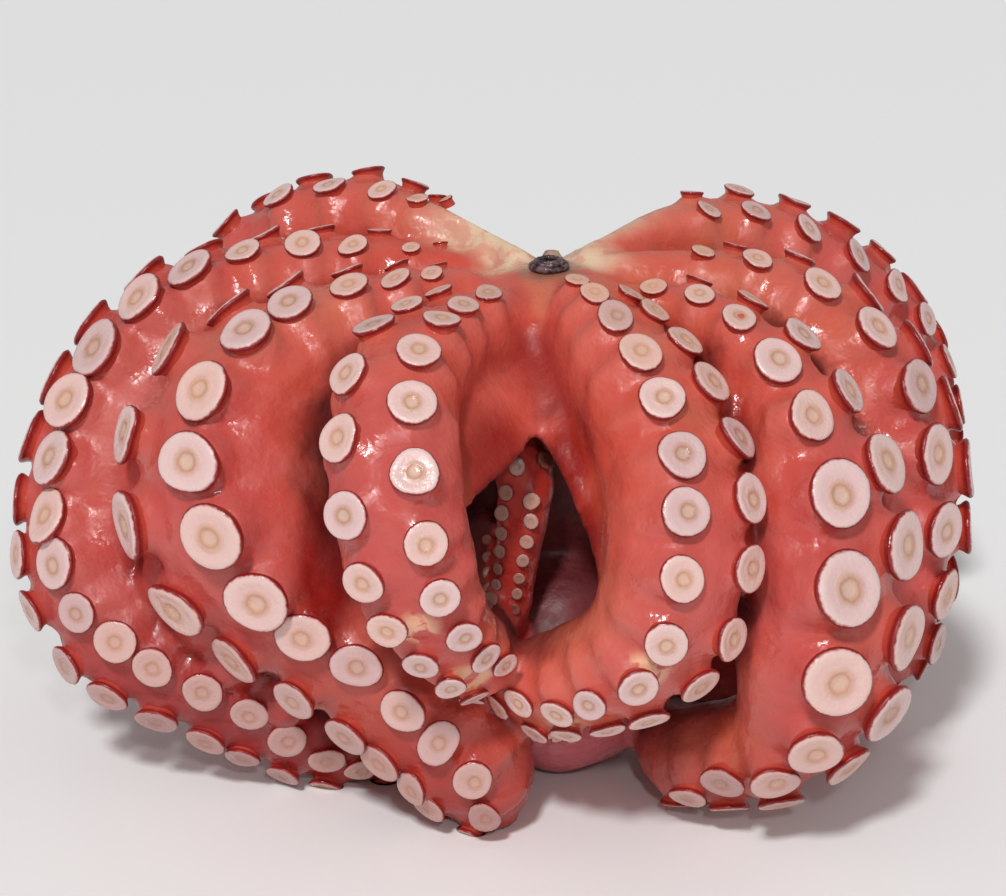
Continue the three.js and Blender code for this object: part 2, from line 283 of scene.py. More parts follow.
WEBS = [
    Web((0, 4), (7.5, 11.0), 0.65, 20.0, 1.0),
    Web((4, 5), (7.5, 6.5), 0.25, 8.0),
    Web((5, 6), (6.5, 6.5), 0.3, 9.0),
    Web((6, 7), (7.5, 9.5), 0.35, 16.0),
    Web((7, 3), (9.0, 10.0), 0.36, 40.0),
    Web((3, 2), (9.5, 10.5), 0.35, 16.0),
    Web((2, 1), (11.5, 10.5), 0.2, 8.0),
    Web((1, 0), (6.5, 6.5), 0.3, 17.0),
]


# Helpers
def deselect() -> None:
    """Leave object mode with nothing selected."""
    if bpy.context.object is not None and bpy.context.object.mode != "OBJECT":
        bpy.ops.object.mode_set(mode="OBJECT")
    bpy.ops.object.select_all(action="DESELECT")


def pick(pieces: Sequence[bpy.types.Object]) -> None:
    """Select only the given pieces, the first of them active."""
    deselect()
    for piece in pieces:
        piece.select_set(True)
    bpy.context.view_layer.objects.active = pieces[0]


def link(name: str, data: bpy.types.ID) -> bpy.types.Object:
    """Put new data into the scene as an object."""
    piece = bpy.data.objects.new(name, data)
    bpy.context.scene.collection.objects.link(piece)
    return piece


def stamp(template: bpy.types.Object, name: str, spot: Vector, size: float,
          turn: Matrix = Matrix.Identity(4)) -> bpy.types.Object:
    """Copy a template of size 1 to a place.

    Args:
        template: The piece whose mesh is copied.
        name: The copy's name.
        spot: Where the copy goes, in millimetres from under the mouth.
        size: Its size in millimetres.
        turn: How it is turned.

    Returns:
        The copy.
    """
    mesh = template.data.copy()
    mesh.transform(Matrix.Translation(place(spot)) @ turn @ Matrix.Scale(size * MM, 4))
    return link(name, mesh)


def join(pieces: Sequence[bpy.types.Object], name: str) -> bpy.types.Object:
    """Join pieces into one with its place in its mesh.

    Args:
        pieces: The pieces, the first of which takes in the others.
        name: The joined piece's name.

    Returns:
        The joined piece.
    """
    pick(pieces)
    if len(pieces) > 1:
        bpy.ops.object.join()
    whole = bpy.context.view_layer.objects.active
    whole.name = name
    whole.data.name = name
    pick([whole])
    bpy.ops.object.transform_apply(location=True, rotation=True, scale=True)
    return whole


def apply(piece: bpy.types.Object, kind: str, **settings: object) -> None:
    """Add a modifier, set it and apply it."""
    pick([piece])
    modifier = piece.modifiers.new(kind.lower(), kind)
    for key, value in settings.items():
        setattr(modifier, key, value)
    bpy.ops.object.modifier_apply(modifier=modifier.name)


def rows(piece: bpy.types.Object, kind: str) -> np.ndarray:
    """Return three numbers a vertex: its place for co, its direction for normal."""
    flat = np.empty(len(piece.data.vertices) * 3, np.float32)
    piece.data.vertices.foreach_get(kind, flat)
    return flat.reshape(-1, 3).astype(float)


def move(piece: bpy.types.Object, spots: np.ndarray) -> None:
    """Put a piece's vertices at rows of metres."""
    piece.data.vertices.foreach_set("co", spots.astype(np.float32).ravel())
    piece.data.update()


def to_metres(spots: np.ndarray) -> np.ndarray:
    """Turn rows of millimetres under the mouth to metres in the solids' frame."""
    return spots * MM + np.array(MOUTH)


def to_millimetres(spots: np.ndarray) -> np.ndarray:
    """Turn rows of metres in the solids' frame to millimetres under the mouth."""
    return (spots - np.array(MOUTH)) / MM


def paint(piece: bpy.types.Object, name: str, values: np.ndarray) -> None:
    """Store one number a vertex as an attribute that materials can read."""
    layer = piece.data.attributes.new(name, "FLOAT", "POINT")
    layer.data.foreach_set("value", np.ascontiguousarray(values, np.float32))


@dataclass(frozen=True)
class Step:
    """A step from 0 at its start to 1 at its end."""

    start: float
    end: float

    def share(self, values: np.ndarray) -> np.ndarray:
        """Return 0 below the start, 1 above the end and a straight rise between."""
        return np.clip((values - self.start) / (self.end - self.start), 0.0, 1.0)

    def up(self, values: np.ndarray) -> np.ndarray:
        """Return 0 below the start, 1 above the end and a soft rise between."""
        share = self.share(values)
        return share * share * (3.0 - 2.0 * share)

    def down(self, values: np.ndarray) -> np.ndarray:
        """Return 1 below the start, 0 above the end and a soft fall between."""
        return 1.0 - self.up(values)


# The shaded foot's height in millimetres, how much more it is on the left, and its soft steps.
FOOT_HEIGHT, FOOT_LEFT_HEIGHT = 62.0, 32.0
FOOT_LEFT, FOOT_FADE = Step(15.0, 75.0), Step(0.1, 1.0)
FOOT_RIGHT_SHADE = 0.75
# How far from the mouth's axis the suckers' faces turn from creamy to white.
WARM_REACH = Step(30.0, 85.0)


def away(spots: np.ndarray, at: Sequence[float], size: object = 1.0) -> np.ndarray:
    """Return how far places lie from a middle, as a share of a size.

    Args:
        spots: Rows of millimetres.
        at: The middle.
        size: A radius, or an ellipsoid's three half sizes.

    Returns:
        One number a row, 1 on the ball or ellipsoid.
    """
    return np.linalg.norm((spots - np.array(at)) / np.array(size), axis=1)


def lowness(spots: np.ndarray) -> np.ndarray:
    """Return how near places are to the shaded foot, which reaches higher on the left.

    Args:
        spots: Rows of millimetres from the floor under the mouth.

    Returns:
        One number a row, most at the floor and 0 in the open.
    """
    left = FOOT_LEFT.up(-spots[:, 0])
    shade = FOOT_RIGHT_SHADE + (1.0 - FOOT_RIGHT_SHADE) * left
    return FOOT_FADE.down(spots[:, 2] / (FOOT_HEIGHT + FOOT_LEFT_HEIGHT * left)) * shade


def dress(piece: bpy.types.Object, node: str, finish: bpy.types.Material) -> None:
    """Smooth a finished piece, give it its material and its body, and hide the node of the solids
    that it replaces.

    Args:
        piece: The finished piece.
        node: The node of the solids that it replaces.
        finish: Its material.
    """
    pick([piece])
    bpy.ops.object.shade_smooth()
    piece.data.materials.clear()
    piece.data.materials.append(finish)
    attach(piece, BODY)
    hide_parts(node)
    LOG.info("%s: %d faces", piece.name, len(piece.data.polygons))


# Shelter, which the materials paint as shade
class Shade:
    """How sheltered a place is by the flesh around it, from 0 in the open to 1 enclosed."""

    RAYS = 72
    REACH = 0.07
    LIFT = 0.0008
    LEAST_FACING = 0.08
    STRIDE = 14
    NEAREST = 4

    def __init__(self, skin: bpy.types.Object) -> None:
        """Keep the faces of the skin that shelters and an even spread of directions.

        Args:
            skin: The skin that shelters.
        """
        self.tree = BVHTree.FromPolygons(
            [vertex.co for vertex in skin.data.vertices],
            [tuple(face.vertices) for face in skin.data.polygons])
        steps = np.arange(self.RAYS) + 0.5
        height = 1.0 - 2.0 * steps / self.RAYS
        turn = steps * math.pi * (1.0 + math.sqrt(5.0))
        flat = np.sqrt(1.0 - height * height)
        self.ways = [Vector(way) for way in zip(flat * np.cos(turn), flat * np.sin(turn), height)]

    def at(self, spot: Vector, out: Vector) -> float:
        """Return the shelter of a spot whose surface faces out.

        Args:
            spot: A place in metres.
            out: Where the surface there faces.

        Returns:
            From 0 in the open to 1 enclosed.
        """
        start = spot + out * self.LIFT
        whole = hidden = 0.0
        for way in self.ways:
            facing = way.dot(out)
            if facing > self.LEAST_FACING:
                whole += facing
                if self.tree.ray_cast(start, way, self.REACH)[0] is not None:
                    hidden += facing
        return hidden / whole

    def over(self, skin: bpy.types.Object) -> np.ndarray:
        """Return the shelter of every vertex, worked out at some and spread to the rest.

        Args:
            skin: The skin.

        Returns:
            One number a vertex.
        """
        spots, outs = rows(skin, "co"), rows(skin, "normal")
        chosen = np.arange(0, len(spots), self.STRIDE)
        values = np.array([self.at(Vector(spots[k]), Vector(outs[k])) for k in chosen])
        near = KDTree(len(chosen))
        for order, k in enumerate(chosen):
            near.insert(spots[k], order)
        near.balance()
        shelter = np.empty(len(spots))
        for k, spot in enumerate(spots):
            found = near.find_n(spot, self.NEAREST)
            weights = np.array([1.0 / (item[2] + 1e-4) for item in found])
            shelter[k] = float(weights @ values[[item[1] for item in found]] / weights.sum())
        return shelter


# Suckers
class SuckerKind(Enum):
    """How finely a sucker is made: its name, least diameter, sides and whether it is plain."""

    BROAD = ("suckers_broad", 14.0, 36, False)
    LARGE = ("suckers_large", 11.5, 28, False)
    MIDDLE = ("suckers_middle", 8.0, 20, False)
    SMALL = ("suckers_small", 0.0, 12, True)

    @classmethod
    def of(cls, size: float) -> "SuckerKind":
        """Return the kind that a diameter belongs to."""
        return next(kind for kind in cls if size >= kind.value[1])


@dataclass(frozen=True)
class Ring:
    """One ring of a sucker: its reach and height for a radius of 1, its place in the
    colour pattern, and whether a plain small sucker has it too."""

    reach: float
    height: float
    mark: float
    plain: bool = False

    def gap(self, reach: float, height: float) -> float:
        """Return how far a reach and a height are from this ring's."""
        return abs(self.reach - reach) + abs(self.height - height)


# From the stalk's foot, over the rim and its groove, to the middle of the pit.
OUTLINE = (
    Ring(0.88, -1.05, 2.0, True),
    Ring(0.82, -0.62, 1.8),
    Ring(0.82, -0.40, 1.55, True),
    Ring(0.87, -0.25, 1.36),
    Ring(0.94, -0.15, 1.2, True),
    Ring(0.985, -0.08, 1.1),
    Ring(1.00, -0.02, 1.04, True),
    Ring(0.975, 0.02, 0.99),
    Ring(0.93, 0.07, 0.93, True),
    Ring(0.82, 0.10, 0.82),
    Ring(0.66, 0.085, 0.66, True),
    Ring(0.53, 0.06, 0.53),
    Ring(0.45, 0.065, 0.45),
    Ring(0.37, 0.09, 0.37, True),
    Ring(0.29, 0.075, 0.29),
    Ring(0.17, 0.03, 0.17, True),
    Ring(0.07, 0.02, 0.07),
)
PIT_RISE = 0.006
PIT_REACH = 0.02


@dataclass
class Cup:
    """One sucker: its face's middle, its directions, size, and where it sits on its arm."""

    face: Vector
    out: Vector
    along: Vector
    size: float
    chance: float
    arm: Arm
    number: float
    side: float

    @property
    def warm(self) -> float:
        """Return how creamy the face is: most by the mouth."""
        near = 1.0 - WARM_REACH.share(math.hypot(self.face.x, self.face.y))
        return min(1.0, max(0.0, 0.75 * near + 0.55 * self.chance - 0.05))

    @property
    def dull_and_shade(self) -> float:
        """Return how grey the face is painted: most low down, where it is painted shade, and a few
        anywhere, a grey of their own.
        """
        low = float(lowness(np.array([self.face]))[0])
        return min(1.0, max(0.0, 0.9 * low + 0.5 * (1.0 - self.chance) ** 4 - 0.05))


@dataclass
class Suckers:
    """All suckers of the octopus, placed by the arms' lines."""

    smallest: float = 2.0
    seed: int = 11
    # Where a column starts and stops, in suckers from the arm's ends.
    first_gap: float = 0.6
    last_gap: float = 0.4
    size_spread: float = 0.04
    tilt_spread: float = 0.078
    # How uneven the outline is: its folds round, and each one's share.
    uneven: float = 0.055
    folds: Tuple[Tuple[int, float], ...] = ((1, 1.0), (2, 1.0), (3, 0.35))
    wave_phase: float = 1.7
    hanging_shade: float = 0.95
    cups: List[Cup] = field(default_factory=list)

    def place_all(self) -> None:
        """Work out every cup from the arms' sucker numbers."""
        rng = np.random.default_rng(self.seed)
        for arm in ARMS:
            for side, start in zip((-1.0, 1.0), arm.columns):
                number = start
                while number < arm.last - self.last_gap:
                    if number > arm.first + self.first_gap and arm.sucker(number) >= self.smallest:
                        self.cups.append(self._cup(arm, number, side, rng))
                    number += 1.0

    def _cup(self, arm: Arm, number: float, side: float, rng: np.random.Generator) -> Cup:
        """Return the cup of one sucker number and column.

        Args:
            arm: The arm it sits on.
            number: Its place along the arm.
            side: -1 or 1 for its column.
            rng: What its size and tilt are drawn from.

        Returns:
            The cup.
        """
        size = arm.sucker(number) * float(1.0 + self.size_spread * rng.standard_normal())
        along, out, across = arm.frame(number)
        lean = out * math.cos(COLUMN_ANGLE) + across * side * math.sin(COLUMN_ANGLE)
        face = arm.at(number) + lean * (arm.radius(number) + DISC_HEIGHT * arm.sucker(number))
        turn = out * math.cos(DISC_ANGLE) + across * side * math.sin(DISC_ANGLE)
        for way in (along, across):
            turn += way * float(self.tilt_spread * rng.standard_normal())
        return Cup(face, turn.normalized(), along, size, float(rng.random()), arm, number, side)

    def _template(self, kind: SuckerKind) -> bpy.types.Object:
        """Model one sucker of radius 1 by extruding a circle ring by ring.

        Args:
            kind: How finely it is made.

        Returns:
            The template.
        """
        name, _, sides, plain = kind.value
        rings = [ring for ring in OUTLINE if ring.plain or not plain]
        deselect()
        bpy.ops.mesh.primitive_circle_add(
            vertices=sides, radius=rings[0].reach, fill_type="NOTHING",
            location=(0.0, 0.0, rings[0].height))
        cup = bpy.context.object
        cup.name = name + "_one"
        bpy.ops.object.transform_apply(location=True, rotation=False, scale=False)
        bpy.ops.object.mode_set(mode="EDIT")
        bpy.ops.mesh.select_all(action="SELECT")
        for below, ring in zip(rings, rings[1:]):
            bpy.ops.mesh.extrude_edges_move(
                TRANSFORM_OT_translate={"value": (0.0, 0.0, ring.height - below.height)})
            grow = ring.reach / below.reach
            bpy.ops.transform.resize(
                value=(grow, grow, 1.0), center_override=(0.0, 0.0, ring.height))
        bpy.ops.mesh.extrude_edges_move(TRANSFORM_OT_translate={"value": (0.0, 0.0, PIT_RISE)})
        bpy.ops.mesh.merge(type="CENTER")
        bpy.ops.mesh.select_all(action="SELECT")
        bpy.ops.mesh.normals_make_consistent(inside=False)
        bpy.ops.object.mode_set(mode="OBJECT")
        bpy.ops.object.shade_smooth()
        marks = []
        for x, y, height in rows(cup, "co"):
            reach = math.hypot(x, y)
            nearest = min(rings, key=lambda ring: ring.gap(reach, height))
            marks.append(nearest.mark if reach > PIT_REACH else 0.0)
        paint(cup, "ring", np.array(marks))
        return cup

    def _shape(self, spots: np.ndarray, rng: np.random.Generator) -> np.ndarray:
        """Make a cup's outline a little egg-shaped and its face a little wavy.

        Args:
            spots: The vertices of a sucker of radius 1.
            rng: What the unevenness is drawn from.

        Returns:
            The moved vertices.
        """
        turn = np.arctan2(spots[:, 1], spots[:, 0])
        reach = np.hypot(spots[:, 0], spots[:, 1])
        swell, wave = np.ones(len(spots)), np.zeros(len(spots))
        for fold, share in self.folds:
            phase = rng.random() * math.tau
            amount = rng.standard_normal() * self.uneven * share
            swell += amount * np.cos(fold * turn - phase) * reach
            wave += 0.5 * amount * np.cos(fold * turn - self.wave_phase * phase) * reach ** 2
        return np.column_stack((spots[:, 0] * swell, spots[:, 1] * swell, spots[:, 2] + wave))

    def _copy(self, one: bpy.types.Object, cup: Cup, shade: Shade,
              rng: np.random.Generator) -> bpy.types.Object:
        """Copy a template to a cup.

        Args:
            one: The template, a sucker of radius 1.
            cup: The cup.
            shade: How sheltered the places on the skin are.
            rng: What the outline's unevenness is drawn from.

        Returns:
            The copy, with its traits painted on.
        """
        across = cup.out.cross(cup.along)
        turn = Matrix((cup.along - cup.out * cup.along.dot(cup.out), across, cup.out))
        turn = Matrix([row.normalized() for row in turn]).transposed()
        spots = self._shape(rows(one, "co"), rng) * (cup.size / 2.0)
        spots = to_metres(spots @ np.array(turn).T + np.array(cup.face))
        spots[:, 2] = np.maximum(spots[:, 2], 0.0)
        copy = link("sucker", one.data.copy())
        move(copy, spots)
        # The cup's shelter, which its material paints as shade, less on the end that hangs in the
        # hollow.
        hidden = shade.at(place(cup.face + cup.out), cup.out)
        hidden *= self.hanging_shade if cup.arm.hangs(cup.number) else 1.0
        for trait, value in (("warm", cup.warm), ("dull_and_shade", cup.dull_and_shade), ("shelter", hidden)):
            paint(copy, trait, np.full(len(spots), value))
        return copy

    def build(self, shade: Shade, finish: bpy.types.Material) -> List[bpy.types.Object]:
        """Copy the kinds' templates to every cup and join them kind by kind.

        Args:
            shade: How sheltered the places on the skin are.
            finish: The suckers' material.

        Returns:
            One finished piece a kind.
        """
        rng = np.random.default_rng(self.seed + 1)
        pieces = []
        for kind in SuckerKind:
            one = self._template(kind)
            copies = [self._copy(one, cup, shade, rng)
                      for cup in self.cups if SuckerKind.of(cup.size) is kind]
            bpy.data.objects.remove(one)
            whole = join(copies, kind.value[0])
            dress(whole, SKIN_NODE, finish)
            pieces.append(whole)
        return pieces


# The body
@dataclass
class Skin:
    """The octopus's body: arms, webs, head, mantle and the mounds under the suckers."""

    voxel: float = 2.04
    smooth_rounds: int = 4
    smooth_share: float = 0.5
    arm_share: float = 0.955
    # The rounded ends of arms: where their rings stand and where they close, in radii.
    end_rings: Tuple[float, ...] = (0.2, 0.42, 0.6)
    end_reach: float = 0.62
    dents: Tuple[Tuple[float, float], ...] = ((14.0, 0.7), (6.0, 0.35))
    # The skirts round the suckers' stalks, for a diameter of 1.
    skirt_sides: int = 16
    skirt_foot: float = 0.64
    skirt_neck: float = 0.42
    skirt_height: float = 0.62
    skirt_drop: float = 0.11
    # The ribs down the arms' sides: for which suckers, of how many balls, how far apart in
    # degrees, how thick for a diameter of 1, and how deep they sink in.
    rib_sizes: Tuple[float, float] = (4.0, 15.0)
    rib_balls: int = 5
    rib_turn: float = 12.0
    rib_bulk: float = 0.48
    rib_taper: float = 0.055
    rib_sink: float = 0.95
    rib_rise: float = 0.55
    rib_fade: float = 3.0
    rib_reach: float = 0.975
    web_thick_top: float = 9.0
    web_thick_edge: float = 3.6
    web_cuts: int = 19
    web_slope_step: float = 0.05
    head: Tuple[Vector, Vector] = (Vector((0, 1, 106)), Vector((34, 27, 46)))
    crown: Tuple[Vector, Vector] = (Vector((1, -3, 138)), Vector((32, 29, 14)))
    mantle: Tuple[Vector, Vector] = (Vector((4, 1, 36)), Vector((36, 43, 38)))
    fold: Tuple[Vector, Vector] = (Vector((0.5, 6.5, 151.0)), Vector((3.8, 3.0, 5.8)))
    # Flesh that closes the creases between neighbouring arms: where, and its radius.
    fills: Tuple[Tuple[Vector, float], ...] = (
        (Vector((-109, -27, 98)), 11.0), (Vector((-107, -33, 85)), 10.0),
        (Vector((-105, -36, 72)), 10.5), (Vector((-98, -38, 60)), 10.0),
        (Vector((-90, -37, 48)), 10.0), (Vector((-76, -36, 34)), 9.0),
        (Vector((48, -43, 124)), 10.0), (Vector((51, -51, 111)), 10.0),
        (Vector((51, -57, 100)), 8.0))
    # The saddle behind the mouth: its height, its fall to the rear, its rise to the sides
    # of its flat middle, and where it starts.
    saddle_height: float = 155.5
    saddle_fall: float = 0.364
    saddle_rise: float = 0.62
    saddle_flat: float = 3.0
    saddle_start: Step = Step(8.0, 13.0)

    def _end(self, arm: Arm, number: float, way: float) -> List[Tuple[Vector, float]]:
        """Return the points and radii that round an arm off, past its tip for way 1."""
        along, radius = arm.frame(number)[0], arm.radius(number) * self.arm_share
        return [(arm.at(number) + along * way * radius * share,
                 radius * math.sqrt(1 - (share / self.end_reach) ** 2))
                for share in self.end_rings]

    def _arm(self, arm: Arm) -> bpy.types.Object:
        """Sweep one arm as a round tube, its ends rounded.

        Args:
            arm: The arm.

        Returns:
            The tube.
        """
        line = bpy.data.curves.new("arm_" + arm.name, "CURVE")
        line.dimensions = "3D"
        line.bevel_depth = MM
        line.bevel_resolution = 5
        line.use_fill_caps = True
        spline = line.splines.new("POLY")
        knots = self._end(arm, arm.first, -1.0)[::-1]
        knots += [(arm.at(n), arm.radius(n) * self.arm_share) for n in arm.numbers(ARM_STEP)]
        knots += self._end(arm, arm.last, 1.0)
        spline.points.add(len(knots) - 1)
        for knot, (point, radius) in zip(spline.points, knots):
            knot.co = (*place(point), 1.0)
            knot.radius = radius
        pick([link(line.name, line)])
        bpy.ops.object.convert(target="MESH")
        return bpy.context.object

    def _ball(self, at: Vector, half: Vector) -> bpy.types.Object:
        """Add a ball scaled to its three half sizes."""
        deselect()
        bpy.ops.mesh.primitive_uv_sphere_add(segments=48, ring_count=24, location=place(at))
        ball = bpy.context.object
        ball.scale = half * MM
        return ball

    def _web(self, web: Web) -> bpy.types.Object:
        """Hang a thick sheet between two arms, its free edge scalloped, its middle sagging.

        Args:
            web: The web.

        Returns:
            The sheet.
        """
        deselect()
        bpy.ops.mesh.primitive_cube_add(size=1.0)
        sheet = bpy.context.object
        bpy.ops.object.mode_set(mode="EDIT")
        bpy.ops.mesh.select_all(action="SELECT")
        bpy.ops.mesh.subdivide(number_cuts=self.web_cuts)
        bpy.ops.object.mode_set(mode="OBJECT")
        step = self.web_slope_step
        for vertex in sheet.data.vertices:
            across = vertex.co.x + 0.5
            depth = web.depth(across, 0.5 - vertex.co.y)
            spread = (web.middle(min(1.0, across + step), depth)
                      - web.middle(max(0.0, across - step), depth))
            fall = (web.middle(across, depth + step)
                    - web.middle(across, max(0.0, depth - step)))
            thick = self.web_thick_top + (self.web_thick_edge - self.web_thick_top) * depth
            point = web.middle(across, depth)
            vertex.co = place(point + fall.cross(spread).normalized() * vertex.co.z * thick)
        return sheet

    def _skirts(self, cups: Sequence[Cup]) -> List[bpy.types.Object]:
        """Raise the skin to a skirt round the stalk of every sucker.

        Args:
            cups: Every sucker.

        Returns:
            The skirts.
        """
        deselect()
        bpy.ops.mesh.primitive_cone_add(
            vertices=self.skirt_sides, radius1=self.skirt_foot, radius2=self.skirt_neck,
            depth=self.skirt_height, location=(0.0, 0.0, -self.skirt_height / 2 - self.skirt_drop))
        one = bpy.context.object
        bpy.ops.object.transform_apply(location=True, rotation=False, scale=False)
        skirts = [stamp(one, "skirt", cup.face, cup.size,
                        cup.out.to_track_quat("Z", "Y").to_matrix().to_4x4()) for cup in cups]
        bpy.data.objects.remove(one)
        return skirts

    def _ribs(self, cups: Sequence[Cup]) -> List[bpy.types.Object]:
        """Run a fading rib of skin from every smaller sucker down the side of its arm.

        Args:
            cups: Every sucker.

        Returns:
            The balls that make up the ribs.
        """
        ribs = []
        deselect()
        bpy.ops.mesh.primitive_ico_sphere_add(subdivisions=2, radius=1.0)
        one = bpy.context.object
        smallest, largest = self.rib_sizes
        for cup in (cup for cup in cups if smallest < cup.size < largest):
            arm, number = cup.arm, cup.number
            _, out, across = arm.frame(number)
            sink = self.rib_sink - self.rib_rise * min(1.0, (largest - cup.size) / self.rib_fade)
            for ball in range(self.rib_balls):
                lean = COLUMN_ANGLE + math.radians(self.rib_turn * ball)
                way = out * math.cos(lean) + across * cup.side * math.sin(lean)
                bulk = cup.size * (self.rib_bulk - self.rib_taper * ball)
                spot = arm.at(number) + way * (arm.radius(number) * self.rib_reach - bulk * sink)
                ribs.append(stamp(one, "rib", spot, bulk))
        bpy.data.objects.remove(one)
        return ribs

    def build(self, cups: Sequence[Cup], finish: bpy.types.Material) -> Shade:
        """Join the body's masses, remesh them to one skin and soften it.

        Args:
            cups: Every sucker, for the mounds that carry them.
            finish: The skin's material.

        Returns:
            How sheltered the places on the finished skin are.
        """
        masses = [self._arm(arm) for arm in ARMS]
        masses += [self._web(web) for web in WEBS]
        masses += [self._ball(*ball) for ball in (self.head, self.crown, self.mantle, self.fold)]
        masses += [self._ball(at, Vector((size, size, size))) for at, size in self.fills]
        masses += self._skirts(cups) + self._ribs(cups)
        skin = join(masses, "skin")
        apply(skin, "REMESH", mode="VOXEL", voxel_size=self.voxel * MM, adaptivity=0.0)
        apply(skin, "SMOOTH", factor=self.smooth_share, iterations=self.smooth_rounds)
        self._dent(skin)
        self._settle(skin)
        shade = Shade(skin)
        Tones(self.mantle).paint_all(skin, shade)
        dress(skin, SKIN_NODE, finish)
        return shade

    def _dent(self, skin: bpy.types.Object) -> None:
        """Press soft dents of a few sizes into the skin, each a wave length and a depth.

        Args:
            skin: The remeshed skin.
        """
        spots = rows(skin, "co")
        depth = np.zeros(len(spots))
        for wave, amount in self.dents:
            waves = [noise.noise(Vector(spot)) for spot in spots / (wave * MM)]
            depth += amount * MM * np.array(waves)
        move(skin, spots + rows(skin, "normal") * depth[:, None])

    def _settle(self, skin: bpy.types.Object) -> None:
        """Lower the saddle behind the mouth and flatten what reaches under the floor.

        Args:
            skin: The remeshed skin.
        """
        spots = to_millimetres(rows(skin, "co"))
        aside = np.maximum(0.0, np.abs(spots[:, 0]) - self.saddle_flat)
        limit = self.saddle_height - self.saddle_fall * spots[:, 1] + self.saddle_rise * aside
        above = np.maximum(0.0, spots[:, 2] - limit)
        spots[:, 2] -= self.saddle_start.up(spots[:, 1]) * above
        spots[:, 2] = np.maximum(spots[:, 2], 0.0)
        move(skin, to_metres(spots))


